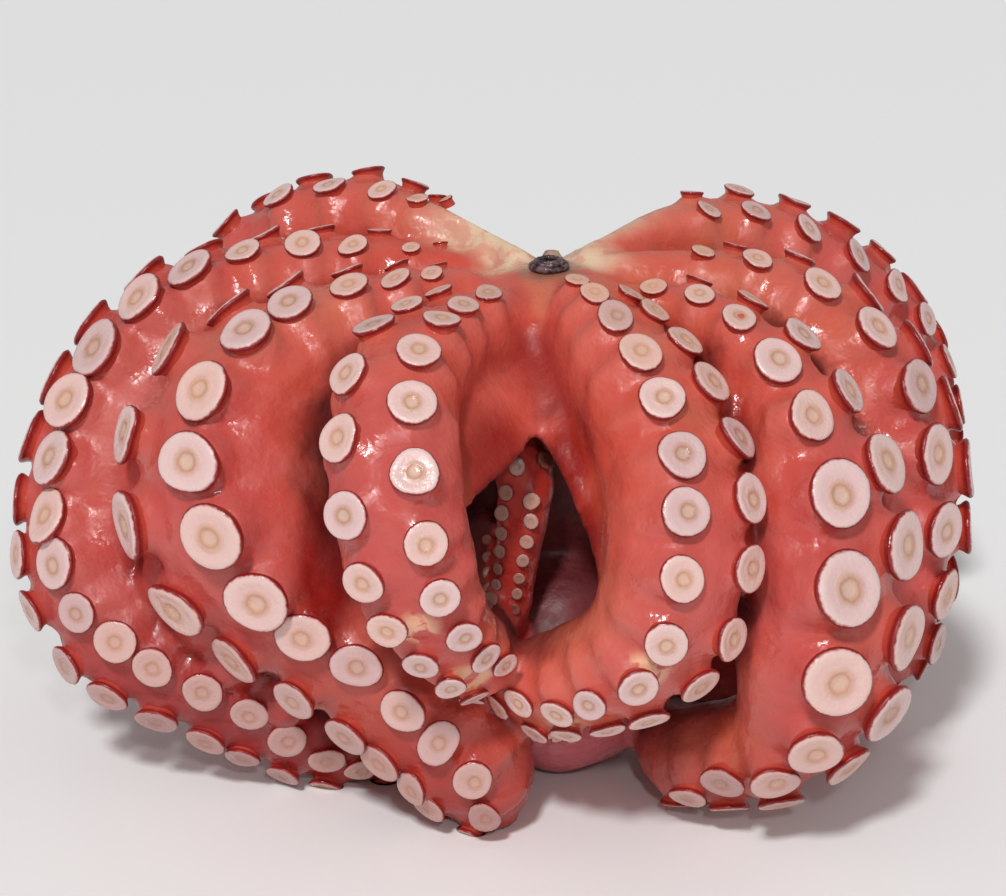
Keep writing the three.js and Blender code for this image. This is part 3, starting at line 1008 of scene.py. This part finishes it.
@dataclass
class Tones:
    """Where the skin is creamy, tan, purple or peeled, and where shade and sheen are painted on
    it: in grooves, on ridges, under shelter, low down and on the end that hangs in the hollow.

    Steps are in millimetres from the floor under the mouth, in degrees round it for
    bearings, and in shares of a width or a half size for the others.
    """

    mantle: Tuple[Vector, Vector]
    mantle_edge: Step = Step(1.0, 1.12)
    mantle_top: Step = Step(60.0, 80.0)
    # The cream behind the mouth and on the rear web, the tan by the mouth.
    top: Step = Step(120.0, 145.0)
    behind: Step = Step(-3.0, 6.0)
    cream_reach: Step = Step(13.0, 28.0)
    rear_bearings: Tuple[Step, Step] = (Step(34.0, 54.0), Step(130.0, 152.0))
    rear_reach: Step = Step(34.0, 62.0)
    tan_reach: Step = Step(6.0, 13.0)
    tan_height: Step = Step(135.0, 148.0)
    # The orange seam in front of the mouth: its place to the side, its half width, how
    # much that narrows and over which run, and where the seam starts and stops.
    seam_side: float = -2.5
    seam_width: float = 7.5
    seam_taper: float = 6.0
    seam_run: Step = Step(6.0, 28.0)
    seam_edge: Step = Step(0.55, 1.0)
    seam_start: Step = Step(5.0, 8.0)
    seam_end: Step = Step(24.0, 31.0)
    seam_height: Step = Step(110.0, 130.0)
    # The end that hangs in the hollow, in radii of the arm, and how far it sheds its shelter and
    # with it the hollow's painted shade.
    hanging_edge: Step = Step(1.2, 1.5)
    hanging_light: float = 0.65
    # Painted shade on the front webs by the hollow and in the creases beside them: where, and its
    # half sizes.
    web_shade_edge: Step = Step(0.4, 1.0)
    web_shades: Tuple[Tuple[Vector, Vector], ...] = (
        (Vector((-17, -65, 113)), Vector((18, 22, 26))),
        (Vector((4, -66, 118)), Vector((10, 22, 22))),
        (Vector((10, -66, 92)), Vector((9, 20, 26))),
        (Vector((-62, -62, 84)), Vector((11, 22, 34))),
        (Vector((52, -66, 78)), Vector((8, 22, 26))))
    # Where the skin is rubbed off: the arm's place, sucker number, lean across and size.
    peel_edge: Step = Step(0.5, 1.0)
    peels: Tuple[Tuple[int, float, float, float], ...] = (
        (0, 8.6, 0.15, 8.0), (0, 10.6, 0.1, 10.0), (4, 8.6, 0.5, 8.0), (4, 11.4, -0.2, 8.0),
        (1, 17.0, 0.2, 7.0), (6, 12.0, 0.2, 8.0), (3, 13.0, 0.2, 8.0), (7, 15.0, -0.2, 7.0))
    # Painted shade in grooves and painted sheen on ridges, by how sunk and how sheltered the skin
    # is.
    sunk_rounds: int = 60
    groove_depth: Step = Step(0.2, 4.0)
    groove_shelter: Step = Step(0.12, 0.42)
    ridge_height: Step = Step(0.3, 3.5)
    ridge_shelter: Step = Step(0.3, 0.55)
    outer_reach: Step = Step(82.0, 108.0)

    def _sunk(self, skin: bpy.types.Object) -> np.ndarray:
        """Return how far each point lies below the mean of the skin around it.

        Args:
            skin: The remeshed skin.

        Returns:
            Millimetres, positive in grooves and negative on ridges.
        """
        edges = np.empty(len(skin.data.edges) * 2, np.int32)
        skin.data.edges.foreach_get("vertices", edges)
        start, end = edges.reshape(-1, 2).T
        spots = rows(skin, "co")
        count = len(spots)
        near = np.bincount(edges, minlength=count)
        mean = spots.copy()
        for _ in range(self.sunk_rounds):
            total = [np.bincount(start, axis[end], count) + np.bincount(end, axis[start], count)
                     for axis in mean.T]
            mean = np.stack(total, axis=1) / near[:, None]
        return np.einsum("ij,ij->i", mean - spots, rows(skin, "normal")) / MM

    def _hanging(self, spots: np.ndarray) -> np.ndarray:
        """Return 1 on the arm's end that hangs in the hollow and 0 elsewhere."""
        return np.max([self.hanging_edge.down(away(spots, arm.at(number), arm.radius(number)))
                       for arm in ARMS for number in arm.numbers(ARM_STEP)
                       if arm.hangs(number)], axis=0)

    def _peeled(self, spots: np.ndarray) -> np.ndarray:
        """Return 1 where the skin may be rubbed off and 0 elsewhere.

        Args:
            spots: Rows of millimetres from the floor under the mouth.

        Returns:
            One number a row.
        """
        peeled = np.zeros(len(spots))
        for index, number, side, size in self.peels:
            arm = ARMS[index]
            _, out, across = arm.frame(number)
            spot = arm.at(number) + (out + across * side).normalized() * arm.radius(number)
            peeled = np.maximum(peeled, self.peel_edge.down(away(spots, spot, size)))
        return peeled

    def _cream(self, spots: np.ndarray, around: np.ndarray) -> np.ndarray:
        """Return 1 behind the mouth and on the rear web and 0 elsewhere.

        Args:
            spots: Rows of millimetres from the floor under the mouth.
            around: Their distances from the mouth's axis.

        Returns:
            One number a row.
        """
        bearing = np.degrees(np.arctan2(spots[:, 1], spots[:, 0]))
        right, left = self.rear_bearings
        rear = right.up(bearing) * left.down(bearing) * self.rear_reach.down(around)
        near = self.cream_reach.down(around) * self.behind.up(spots[:, 1])
        return np.maximum(near, rear) * self.top.up(spots[:, 2])

    def _seam(self, spots: np.ndarray) -> np.ndarray:
        """Return 1 on the seam in front of the mouth and 0 elsewhere.

        Args:
            spots: Rows of millimetres from the floor under the mouth.

        Returns:
            One number a row.
        """
        front = -spots[:, 1]
        width = self.seam_width - self.seam_taper * self.seam_run.share(front)
        seam = self.seam_edge.down(np.abs(spots[:, 0] - self.seam_side) / width)
        seam *= self.seam_start.up(front) * self.seam_end.down(front)
        return seam * self.seam_height.up(spots[:, 2])

    def paint_all(self, skin: bpy.types.Object, shade: Shade) -> None:
        """Store every mask on the skin for its material.

        Args:
            skin: The settled skin.
            shade: How sheltered the places on it are.
        """
        spots = to_millimetres(rows(skin, "co"))
        around, height = np.hypot(spots[:, 0], spots[:, 1]), spots[:, 2]
        sunk, hanging = self._sunk(skin), self._hanging(spots)
        shelter = shade.over(skin) * (1.0 - self.hanging_light * hanging)
        mantle = self.mantle_edge.down(away(spots, *self.mantle)) * self.mantle_top.down(height)
        mantle *= 1.0 - hanging
        web_shade = [self.web_shade_edge.down(away(spots, *web)) for web in self.web_shades]
        # The masks for grooves, the webs by the hollow, shelter, the hanging end and the foot
        # carry painted shade, the foot's also a purple tint of the skin's own; the mask for ridges
        # carries a painted sheen.
        masks = {
            "cream": self._cream(spots, around),
            "seam": self._seam(spots),
            "tan": self.tan_reach.down(around) * self.tan_height.up(height),
            "mantle": mantle,
            "peel": self._peeled(spots),
            "groove_shade": self.groove_depth.up(sunk) * self.groove_shelter.up(shelter),
            "ridge_sheen": self.ridge_height.up(-sunk) * self.ridge_shelter.down(shelter),
            "shelter": shelter,
            "low": lowness(spots) * (1.0 - mantle),
            "hanging": hanging,
            "web_shade": np.max(web_shade, axis=0),
            "outer": self.outer_reach.up(around),
        }
        for name, values in masks.items():
            paint(skin, name, values)


# Finishes
class Tree:
    """A node tree with short calls for the nodes used here."""

    def __init__(self, tree: bpy.types.NodeTree) -> None:
        """Start with the tree empty."""
        self.tree, self.nodes, self.links = tree, tree.nodes, tree.links
        self.nodes.clear()

    def add(self, kind: str, inputs: Dict[Union[str, int], Feed],
            **settings: object) -> bpy.types.Node:
        """Add a node and feed it.

        Args:
            kind: The kind of node.
            inputs: What feeds its inputs, by name or by number.
            settings: The node's own settings.

        Returns:
            The node.
        """
        node = self.nodes.new(kind)
        for key, value in settings.items():
            setattr(node, key, value)
        self.feed(node, inputs)
        return node

    def feed(self, node: bpy.types.Node, inputs: Dict[Union[str, int], Feed]) -> None:
        """Link a node's inputs to sockets or set them to constants."""
        for key, value in inputs.items():
            if isinstance(value, bpy.types.NodeSocket):
                self.links.new(value, node.inputs[key])
            else:
                node.inputs[key].default_value = value

    def math(self, operation: str, first: Feed, second: Feed,
             clamp: bool = False) -> bpy.types.NodeSocket:
        """Work one number out of two."""
        return self.add("ShaderNodeMath", {0: first, 1: second},
                        operation=operation, use_clamp=clamp).outputs[0]

    def mix(self, share: Feed, low: Feed, high: Feed, blend: str = "MIX") -> bpy.types.NodeSocket:
        """Mix two colours by a share."""
        return self.add("ShaderNodeMix", {"Factor": share, 6: low, 7: high},
                        data_type="RGBA", blend_type=blend).outputs[2]

    def step(self, value: Feed, start: Feed, end: Feed) -> bpy.types.NodeSocket:
        """Turn a value to a soft step from 0 to 1."""
        return self.add("ShaderNodeMapRange",
                        {"Value": value, "From Min": start, "From Max": end},
                        interpolation_type="SMOOTHSTEP").outputs["Result"]


class Group(Tree):
    """A shared node group with named inputs and outputs."""

    def __init__(self, name: str, inputs: Dict[str, float], outputs: Sequence[str]) -> None:
        """Start a group.

        Args:
            name: The group's name.
            inputs: Its inputs, each with the value it has when nothing is set.
            outputs: Its outputs.
        """
        super().__init__(bpy.data.node_groups.new(name, "ShaderNodeTree"))
        for key, value in inputs.items():
            self._socket(key, "INPUT").default_value = value
        for key in outputs:
            self._socket(key, "OUTPUT")
        self.given = self.nodes.new("NodeGroupInput").outputs
        self.result = self.nodes.new("NodeGroupOutput")
        self.where = self.nodes.new("ShaderNodeTexCoord").outputs["Object"]

    def _socket(self, name: str, side: str) -> bpy.types.NodeTreeInterfaceSocket:
        """Add a number to the group's inputs or outputs."""
        return self.tree.interface.new_socket(
            name, in_out=side, socket_type="NodeSocketFloat")

    def cloud(self, size: str, detail: float, rough: float = 0.5) -> bpy.types.NodeSocket:
        """Add a noise whose patches have the size of a named input.

        Args:
            size: The input's name.
            detail: How many finer noises it carries.
            rough: How strong each finer noise is.

        Returns:
            The noise, from 0 to 1.
        """
        scale = self.math("DIVIDE", 1.0, self.given[size])
        return self.add("ShaderNodeTexNoise", {
            "Vector": self.where, "Scale": scale, "Detail": detail,
            "Roughness": rough}).outputs["Fac"]


def patches_group() -> bpy.types.NodeTree:
    """Build the shared soft patches of tone: a mask from a size, a level and a softness."""
    group = Group("soft_patches", {"Size": 0.03, "Level": 0.5, "Softness": 0.15}, ("Mask",))
    level, softness = group.given["Level"], group.given["Softness"]
    mask = group.step(group.cloud("Size", 4.0, 0.55), group.math("SUBTRACT", level, softness),
                      group.math("ADD", level, softness))
    group.feed(group.result, {"Mask": mask})
    return group.tree


def wet_group() -> bpy.types.NodeTree:
    """Build the shared wetness: a height from two sizes of dent, and a roughness by patches."""
    group = Group("wetness", {
        "Dent Size": 0.005, "Fine Size": 0.0012, "Fine Share": 0.35, "Film Size": 0.02,
        "Wet Roughness": 0.15, "Dry Roughness": 0.5}, ("Height", "Roughness"))
    given = group.given
    height = group.add("ShaderNodeMix", {
        "Factor": given["Fine Share"], "A": group.cloud("Dent Size", 2.0),
        "B": group.cloud("Fine Size", 2.0)})
    rough = group.add("ShaderNodeMapRange", {
        "Value": group.cloud("Film Size", 4.0), "From Min": 0.42, "From Max": 0.60,
        "To Min": given["Wet Roughness"], "To Max": given["Dry Roughness"]})
    group.feed(group.result, {"Height": height.outputs["Result"],
                              "Roughness": rough.outputs["Result"]})
    return group.tree


@dataclass(frozen=True)
class Patch:
    """Soft patches: their size in metres, the noise level they start at, their softness."""

    size: float
    level: float
    softness: float


@dataclass(frozen=True)
class Film:
    """A wet surface: the sizes of its dents in metres and how deep they are, the share of
    the fine ones, the size of the wet patches, and how rough it is wet and dry."""

    dent: float
    fine: float
    share: float
    patch: float
    wet: float
    dry: float
    depth: float = 0.0


@dataclass(frozen=True)
class Flesh:
    """How far light runs under the surface: its share, each colour's reach, and the scale."""

    share: float
    reach: Tuple[float, float, float]
    scale: float


@dataclass(frozen=True)
class Kit:
    """The node groups that the materials share."""

    patches: bpy.types.NodeTree
    wetness: bpy.types.NodeTree


class Sheet(Tree):
    """A material's node tree, with a Principled shader and its output."""

    BUMP_STRENGTH = 0.6

    def __init__(self, name: str) -> None:
        """Start a material with only its shader."""
        self.material = bpy.data.materials.new(name)
        self.material.use_nodes = True
        super().__init__(self.material.node_tree)
        self.shader = self.nodes.new("ShaderNodeBsdfPrincipled")
        self.add("ShaderNodeOutputMaterial", {"Surface": self.shader.outputs["BSDF"]})

    def attribute(self, name: str) -> bpy.types.NodeSocket:
        """Return a vertex attribute's number."""
        return self.add("ShaderNodeAttribute", {}, attribute_name=name).outputs["Fac"]

    def patch(self, kit: Kit, patch: Patch) -> bpy.types.NodeSocket:
        """Return the mask of soft patches."""
        return self.add("ShaderNodeGroup", {
            "Size": patch.size, "Level": patch.level, "Softness": patch.softness},
            node_tree=kit.patches).outputs["Mask"]

    def layer(self, colour: Feed, mask: Feed, share: Feed, tint: Feed) -> bpy.types.NodeSocket:
        """Lay a tint over a colour where a mask is, up to a share."""
        return self.mix(self.math("MULTIPLY", mask, share), colour, tint)

    def ramp(self, value: Feed, stops: Sequence[Tuple[float, Colour]]) -> bpy.types.NodeSocket:
        """Run a value through coloured stops.

        Args:
            value: The value.
            stops: Places from 0 to 1, each with its colour.

        Returns:
            The colour.
        """
        node = self.add("ShaderNodeValToRGB", {"Fac": value})
        strip = node.color_ramp.elements
        strip[0].position, strip[0].color = stops[0]
        strip[1].position, strip[1].color = stops[-1]
        for position, colour in stops[1:-1]:
            strip.new(position).color = colour
        return node.outputs["Color"]

    def wet(self, kit: Kit, film: Film, dryness: Feed = 0.0) -> None:
        """Give the shader a wet surface.

        Args:
            kit: The shared groups.
            film: The wet surface.
            dryness: What is added to its roughness.
        """
        node = self.add("ShaderNodeGroup", {
            "Dent Size": film.dent, "Fine Size": film.fine, "Fine Share": film.share,
            "Film Size": film.patch, "Wet Roughness": film.wet, "Dry Roughness": film.dry},
            node_tree=kit.wetness)
        rough = self.math("ADD", node.outputs["Roughness"], dryness, True)
        self.feed(self.shader, {"Roughness": rough})
        if film.depth:
            bump = self.add("ShaderNodeBump", {
                "Strength": self.BUMP_STRENGTH, "Distance": film.depth,
                "Height": node.outputs["Height"]})
            self.feed(self.shader, {"Normal": bump.outputs["Normal"]})

    def finish(self, colour: Feed, flesh: Optional[Flesh] = None) -> bpy.types.Material:
        """Give the shader its colour and its depth, and return the material.

        Args:
            colour: Its colour.
            flesh: How far light runs under the surface, if it does.

        Returns:
            The finished material.
        """
        self.feed(self.shader, {"Base Color": colour})
        if flesh:
            self.feed(self.shader, {
                "Subsurface Weight": flesh.share, "Subsurface Radius": flesh.reach,
                "Subsurface Scale": flesh.scale})
        return self.material


@dataclass(frozen=True)
class WetSkin:
    """The boiled skin: salmon red, creamy by the mouth, with painted shade in its folds and hollow
    and a painted sheen on its ridges.
    """

    salmon: Colour = srgb(208, 90, 76)
    brick: Colour = srgb(202, 74, 58)
    # Pink: pale patches of the skin's own, and a painted sheen on the ridges.
    pink: Colour = srgb(214, 114, 100)
    # The dark red of painted shade in the grooves and on the webs by the hollow.
    groove_shade: Colour = srgb(140, 22, 18)
    orange: Colour = srgb(208, 116, 82)
    cream: Colour = srgb(226, 196, 166)
    tan: Colour = srgb(144, 114, 94)
    bare: Colour = srgb(232, 176, 142)
    mantle: Colour = srgb(196, 98, 106)
    # A purple tint laid low down: partly the skin's own purple, partly painted shade.
    under: Colour = srgb(186, 124, 140)
    mauve: Colour = srgb(190, 78, 80)
    # A darker red painted as shade on the end that hangs in the hollow.
    hanging: Colour = srgb(186, 40, 32)
    # Painted shade deep in the hollow, laid by shelter.
    hollow: Colour = srgb(92, 16, 20)
    # The tints laid on one after another: each one's mask, share and colour. The ridges' tint is a
    # painted sheen; the tints in grooves, on the webs by the hollow and on the hanging end are
    # painted shade.
    tints: Tuple[Tuple[str, float, Colour], ...] = (
        ("ridge_sheen", 0.38, pink), ("outer", 0.5, mauve), ("groove_shade", 0.85, groove_shade),
        ("web_shade", 0.92, groove_shade), ("hanging", 0.85, hanging), ("mantle", 1.0, mantle),
        ("seam", 0.7, orange))
    broad: Patch = Patch(0.04, 0.5, 0.14)
    blush: Patch = Patch(0.055, 0.58, 0.1)
    pale: Patch = Patch(0.008, 0.58, 0.14)
    speckle: Patch = Patch(0.0035, 0.5, 0.1)
    torn: Patch = Patch(0.006, 0.47, 0.05)
    blush_share: float = 0.55
    pale_share: float = 0.24
    # How little the cream and the tan keep between their patches.
    cream_least: float = 0.65
    tan_least: float = 0.65
    # How much shelter it takes to lay the painted hollow shade, and how much rougher the sheltered
    # skin gets.
    deep: Tuple[float, float] = (0.36, 0.86)
    deep_dryness: float = 0.35
    flesh: Flesh = Flesh(0.1, (1.0, 0.22, 0.14), 0.003)
    film: Film = Film(0.0038, 0.0016, 0.2, 0.012, 0.18, 0.55, 0.001)

    def make(self, kit: Kit) -> bpy.types.Material:
        """Return the skin's material.

        Args:
            kit: The shared groups.

        Returns:
            The material.
        """
        sheet = Sheet("wet_skin")
        colour = sheet.mix(sheet.patch(kit, self.broad), self.brick, self.salmon)
        colour = sheet.layer(colour, sheet.patch(kit, self.blush), self.blush_share, self.orange)
        colour = sheet.layer(colour, sheet.patch(kit, self.pale), self.pale_share, self.pink)
        for trait, share, tint in self.tints:
            colour = sheet.layer(colour, sheet.attribute(trait), share, tint)
        torn = sheet.patch(kit, self.torn)
        mottle = sheet.math("MULTIPLY", torn, 1.0 - self.cream_least)
        mottle = sheet.math("ADD", mottle, self.cream_least)
        speckle = sheet.math("MAXIMUM", sheet.patch(kit, self.speckle), self.tan_least)
        for trait, mask, tint in (("cream", mottle, self.cream), ("tan", speckle, self.tan),
                                  ("peel", torn, self.bare)):
            colour = sheet.layer(colour, sheet.attribute(trait), mask, tint)
        # The tint low down, partly the skin's own purple and partly painted shade, then painted
        # shade in the hollow by shelter.
        colour = sheet.mix(sheet.attribute("low"), colour, self.under, "MULTIPLY")
        deep = sheet.step(sheet.attribute("shelter"), *self.deep)
        sheet.wet(kit, self.film, sheet.math("MULTIPLY", deep, self.deep_dryness))
        return sheet.finish(sheet.mix(deep, colour, self.hollow), self.flesh)


@dataclass(frozen=True)
class WetSucker:
    """A sucker: dark red edge, its red skin partly darkened by a painted shadow under the rim,
    pale face, a tan ring round its pit, and painted shade low down and where it is sheltered.
    """

    centre: Colour = srgb(216, 182, 166)
    tan: Colour = srgb(206, 164, 144)
    pit: Colour = srgb(186, 140, 120)
    face: Colour = srgb(224, 190, 188)
    lip: Colour = srgb(230, 200, 198)
    # The dark red edge under the rim: the stalk's red skin, darkened by a painted shadow.
    edge: Colour = srgb(140, 28, 26)
    stalk: Colour = srgb(192, 72, 56)
    warm: Colour = srgb(220, 164, 134)
    # Grey for the faces: painted shade low down, and a grey of their own on a few.
    dull_and_shade: Colour = srgb(164, 112, 106)
    # Painted shade for the sheltered suckers.
    hollow: Colour = srgb(134, 60, 48)
    # The rings' colours, as shares of the way from the pit to the stalk's foot.
    span: float = 2.0
    stops: Tuple[Tuple[float, Colour], ...] = (
        (0.0, centre), (0.08, centre), (0.115, tan), (0.145, pit), (0.175, tan), (0.25, face),
        (0.42, lip), (0.458, lip), (0.49, edge), (0.58, edge), (0.68, stalk))
    face_end: float = 0.472
    tint_share: float = 0.75
    waver: float = 0.03
    uneven: Patch = Patch(0.0022, 0.5, 0.3)
    # How much shelter it takes to lay the painted shade.
    deep: Tuple[float, float] = (0.34, 0.9)
    flesh: Flesh = Flesh(0.15, (1.0, 0.4, 0.3), 0.0015)
    film: Film = Film(0.003, 0.001, 0.35, 0.012, 0.18, 0.5, 0.0008)

    def make(self, kit: Kit) -> bpy.types.Material:
        """Return the suckers' material.

        Args:
            kit: The shared groups.

        Returns:
            The material.
        """
        sheet = Sheet("wet_sucker")
        waver = sheet.math("SUBTRACT", sheet.patch(kit, self.uneven), 0.5)
        ring = sheet.math("ADD", sheet.math("DIVIDE", sheet.attribute("ring"), self.span),
                          sheet.math("MULTIPLY", waver, self.waver))
        colour = sheet.ramp(ring, self.stops)
        face = sheet.math("LESS_THAN", ring, self.face_end)
        for trait, tint in (("warm", self.warm), ("dull_and_shade", self.dull_and_shade)):
            share = sheet.math("MULTIPLY", sheet.attribute(trait), self.tint_share)
            colour = sheet.layer(colour, face, share, tint)
        deep = sheet.step(sheet.attribute("shelter"), *self.deep)
        sheet.wet(kit, self.film)
        return sheet.finish(sheet.mix(deep, colour, self.hollow), self.flesh)


@dataclass(frozen=True)
class Lips:
    """The lips' purple-grey skin, mottled near-black."""

    dark: Colour = srgb(46, 30, 38)
    grey: Colour = srgb(116, 92, 94)
    mottle: Patch = Patch(0.0022, 0.5, 0.12)
    film: Film = Film(0.002, 0.0008, 0.35, 0.006, 0.2, 0.5)

    def make(self, kit: Kit) -> bpy.types.Material:
        """Return the lips' material."""
        sheet = Sheet("lips")
        sheet.wet(kit, self.film)
        return sheet.finish(sheet.mix(sheet.patch(kit, self.mottle), self.dark, self.grey))


@dataclass(frozen=True)
class Horn:
    """The beak's dark brown horn."""

    dark: Colour = srgb(34, 22, 26)
    brown: Colour = srgb(84, 58, 46)
    mottle: Patch = Patch(0.003, 0.55, 0.15)
    roughness: float = 0.25

    def make(self, kit: Kit) -> bpy.types.Material:
        """Return the beak's material."""
        sheet = Sheet("horn")
        sheet.feed(sheet.shader, {"Roughness": self.roughness})
        return sheet.finish(sheet.mix(sheet.patch(kit, self.mottle), self.dark, self.brown))


# The mouth
@dataclass
class Mouth:
    """The wrinkled lips and the horny beak inside them."""

    # The rings of the lips: each one's reach, thickness and drop under the mouth's height.
    lips: Tuple[Tuple[float, float, float], ...] = (
        (4.9, 0.9, -2.3), (3.9, 0.75, -1.3), (3.0, 0.6, -0.8))
    # The waves round a lip: how many, how strong, and how each ring's reach and a quarter
    # turn shift them.
    waves: Tuple[Tuple[int, float, float, float], ...] = (
        (17, 0.08, 1.0, 0.0), (2, 0.12, 1.0, 0.0), (5, 0.1, 2.0, 1.0))
    # The beak's halves: to which side each stands and how high it is.
    halves: Tuple[Tuple[float, float], ...] = ((1.0, 7.4), (-1.0, 6.2))
    beak_sides: int = 20
    beak_reach: float = 1.9
    beak_depth: float = 0.62
    beak_lean: float = 0.35
    beak_rings: Tuple[float, ...] = (0.98, 0.93, 0.86, 0.76, 0.62, 0.3)

    def _lip(self, reach: float, thick: float, drop: float) -> bpy.types.Object:
        """Add one ring of the lips, its skin in fine radial wrinkles.

        Args:
            reach: The ring's radius.
            thick: The radius of its section.
            drop: Its height over the mouth's.

        Returns:
            The ring.
        """
        deselect()
        bpy.ops.mesh.primitive_torus_add(
            major_radius=reach, minor_radius=thick, major_segments=96, minor_segments=14)
        ring = bpy.context.object
        for vertex in ring.data.vertices:
            turn = math.atan2(vertex.co.y, vertex.co.x)
            swell = 1.0 + sum(
                share * math.cos(count * turn + shift * reach - quarter * math.pi / 2)
                for count, share, shift, quarter in self.waves)
            middle = Vector((math.cos(turn), math.sin(turn), 0.0)) * reach
            spot = middle + (vertex.co - middle) * swell
            vertex.co = place(spot + Vector((0.0, 0.0, MOUTH_HEIGHT + drop)))
        return ring

    def build_lips(self, finish: bpy.types.Material) -> bpy.types.Object:
        """Add the finished lips."""
        lips = join([self._lip(*ring) for ring in self.lips], "lips")
        dress(lips, SKIN_NODE, finish)
        return lips

    def _half(self, side: float, height: float) -> bpy.types.Object:
        """Add one hooked half of the beak.

        Args:
            side: 1 for the half at the rear, -1 for the front.
            height: Its height.

        Returns:
            The half.
        """
        deselect()
        bpy.ops.mesh.primitive_circle_add(
            vertices=self.beak_sides, radius=self.beak_reach, fill_type="NGON")
        half = bpy.context.object
        bpy.ops.object.mode_set(mode="EDIT")
        bpy.ops.mesh.select_all(action="SELECT")
        for shrink in self.beak_rings:
            bpy.ops.mesh.extrude_region_move(
                TRANSFORM_OT_translate={"value": (0.0, 0.0, height / len(self.beak_rings))})
            bpy.ops.transform.resize(value=(shrink, shrink, 1.0))
        bpy.ops.mesh.select_all(action="SELECT")
        bpy.ops.mesh.normals_make_consistent(inside=False)
        bpy.ops.object.mode_set(mode="OBJECT")
        for vertex in half.data.vertices:
            x, y, z = vertex.co
            lean = side * (1.0 - self.beak_lean * (z / height) ** 2)
            spot = Vector((x, y * self.beak_depth + lean, z))
            vertex.co = place(spot) + Vector((0.0, 0.0, BEAK_LOW.z))
        return half

    def build_beak(self, finish: bpy.types.Material) -> bpy.types.Object:
        """Add the finished beak."""
        beak = join([self._half(*half) for half in self.halves], "beak_halves")
        dress(beak, BEAK_NODE, finish)
        return beak


# The studio
@dataclass(frozen=True)
class Lamp:
    """A lamp: its kind, its place in metres, its size and its power.

    A far SUN has its width in radians and watts a square metre, a near AREA panel its
    side in metres and watts.
    """

    name: str
    kind: str
    at: Tuple[float, float, float]
    size: float
    power: float


@dataclass
class Studio:
    """A pale floor, soft lights and the camera at the photograph's place."""

    rise: float = 20.0
    distance: float = 900.0
    focal_pixels: float = 3085.7
    image_width: float = 1006.0
    sensor: float = 36.0
    furthest: float = 20.0
    target: Tuple[float, float, float] = (-13.1, 0.0, 97.2)
    room: float = 0.33
    lamps: Tuple[Lamp, ...] = (
        Lamp("key", "SUN", (-0.25, -1.0, 1.2), 0.12, 1.9),
        Lamp("flash", "AREA", (0.1, -1.2, 0.75), 0.07, 2.4))
    aim: Tuple[float, float, float] = (0.0, 0.0, 0.08)
    floor_side: float = 6.0
    floor_drop: float = 0.0002
    floor_tone: Colour = (0.95, 0.95, 0.95, 1.0)
    floor_roughness: float = 0.8

    def camera(self) -> None:
        """Place the camera."""
        tilt = math.radians(self.rise)
        forward = Vector((0.0, math.cos(tilt), -math.sin(tilt)))
        data = bpy.data.cameras.new("camera")
        data.sensor_width = self.sensor
        data.lens = self.focal_pixels * self.sensor / self.image_width
        data.clip_end = self.furthest
        eye = link("camera", data)
        eye.location = place(Vector(self.target) - forward * self.distance)
        eye.rotation_euler = (math.pi / 2 - tilt, 0.0, 0.0)
        bpy.context.scene.camera = eye

    def floor(self) -> None:
        """Lay the pale floor."""
        deselect()
        bpy.ops.mesh.primitive_plane_add(
            size=self.floor_side, location=(0.0, 0.0, -self.floor_drop))
        floor = bpy.context.object
        floor.name = "floor"
        sheet = Sheet("pale_floor")
        sheet.feed(sheet.shader, {"Roughness": self.floor_roughness})
        floor.data.materials.append(sheet.finish(self.floor_tone))

    def lights(self) -> None:
        """Hang the lamps, aimed at the octopus."""
        for lamp in self.lamps:
            data = bpy.data.lights.new(lamp.name, lamp.kind)
            data.energy = lamp.power
            setattr(data, "angle" if lamp.kind == "SUN" else "size", lamp.size)
            hung = link(lamp.name, data)
            hung.location = lamp.at
            way = Vector(self.aim) - Vector(lamp.at)
            hung.rotation_euler = way.to_track_quat("-Z", "Y").to_euler()

    def walls(self) -> None:
        """Light the pale room, white to the camera, and show colours as they are."""
        world = bpy.data.worlds.new("pale_room")
        world.use_nodes = True
        tree = Tree(world.node_tree)
        ground = tree.add("ShaderNodeBackground", {"Color": WHITE, "Strength": self.room})
        backdrop = tree.add("ShaderNodeBackground", {"Color": WHITE, "Strength": 1.0})
        path = tree.add("ShaderNodeLightPath", {})
        blend = tree.add("ShaderNodeMixShader", {
            "Fac": path.outputs["Is Camera Ray"], 1: ground.outputs["Background"],
            2: backdrop.outputs["Background"]})
        tree.add("ShaderNodeOutputWorld", {"Surface": blend.outputs["Shader"]})
        bpy.context.scene.world = world
        bpy.context.scene.view_settings.view_transform = "Standard"


def main() -> None:
    """Build the octopus, dress it and set the studio."""
    logging.basicConfig(level=logging.INFO, format="%(name)s %(message)s")
    kit = Kit(patches_group(), wet_group())
    suckers = Suckers()
    suckers.place_all()
    LOG.info("%d suckers", len(suckers.cups))
    shade = Skin().build(suckers.cups, WetSkin().make(kit))
    suckers.build(shade, WetSucker().make(kit))
    mouth = Mouth()
    mouth.build_lips(Lips().make(kit))
    mouth.build_beak(Horn().make(kit))
    studio = Studio()
    studio.camera()
    studio.floor()
    studio.lights()
    studio.walls()


if __name__ == "__main__":
    main()
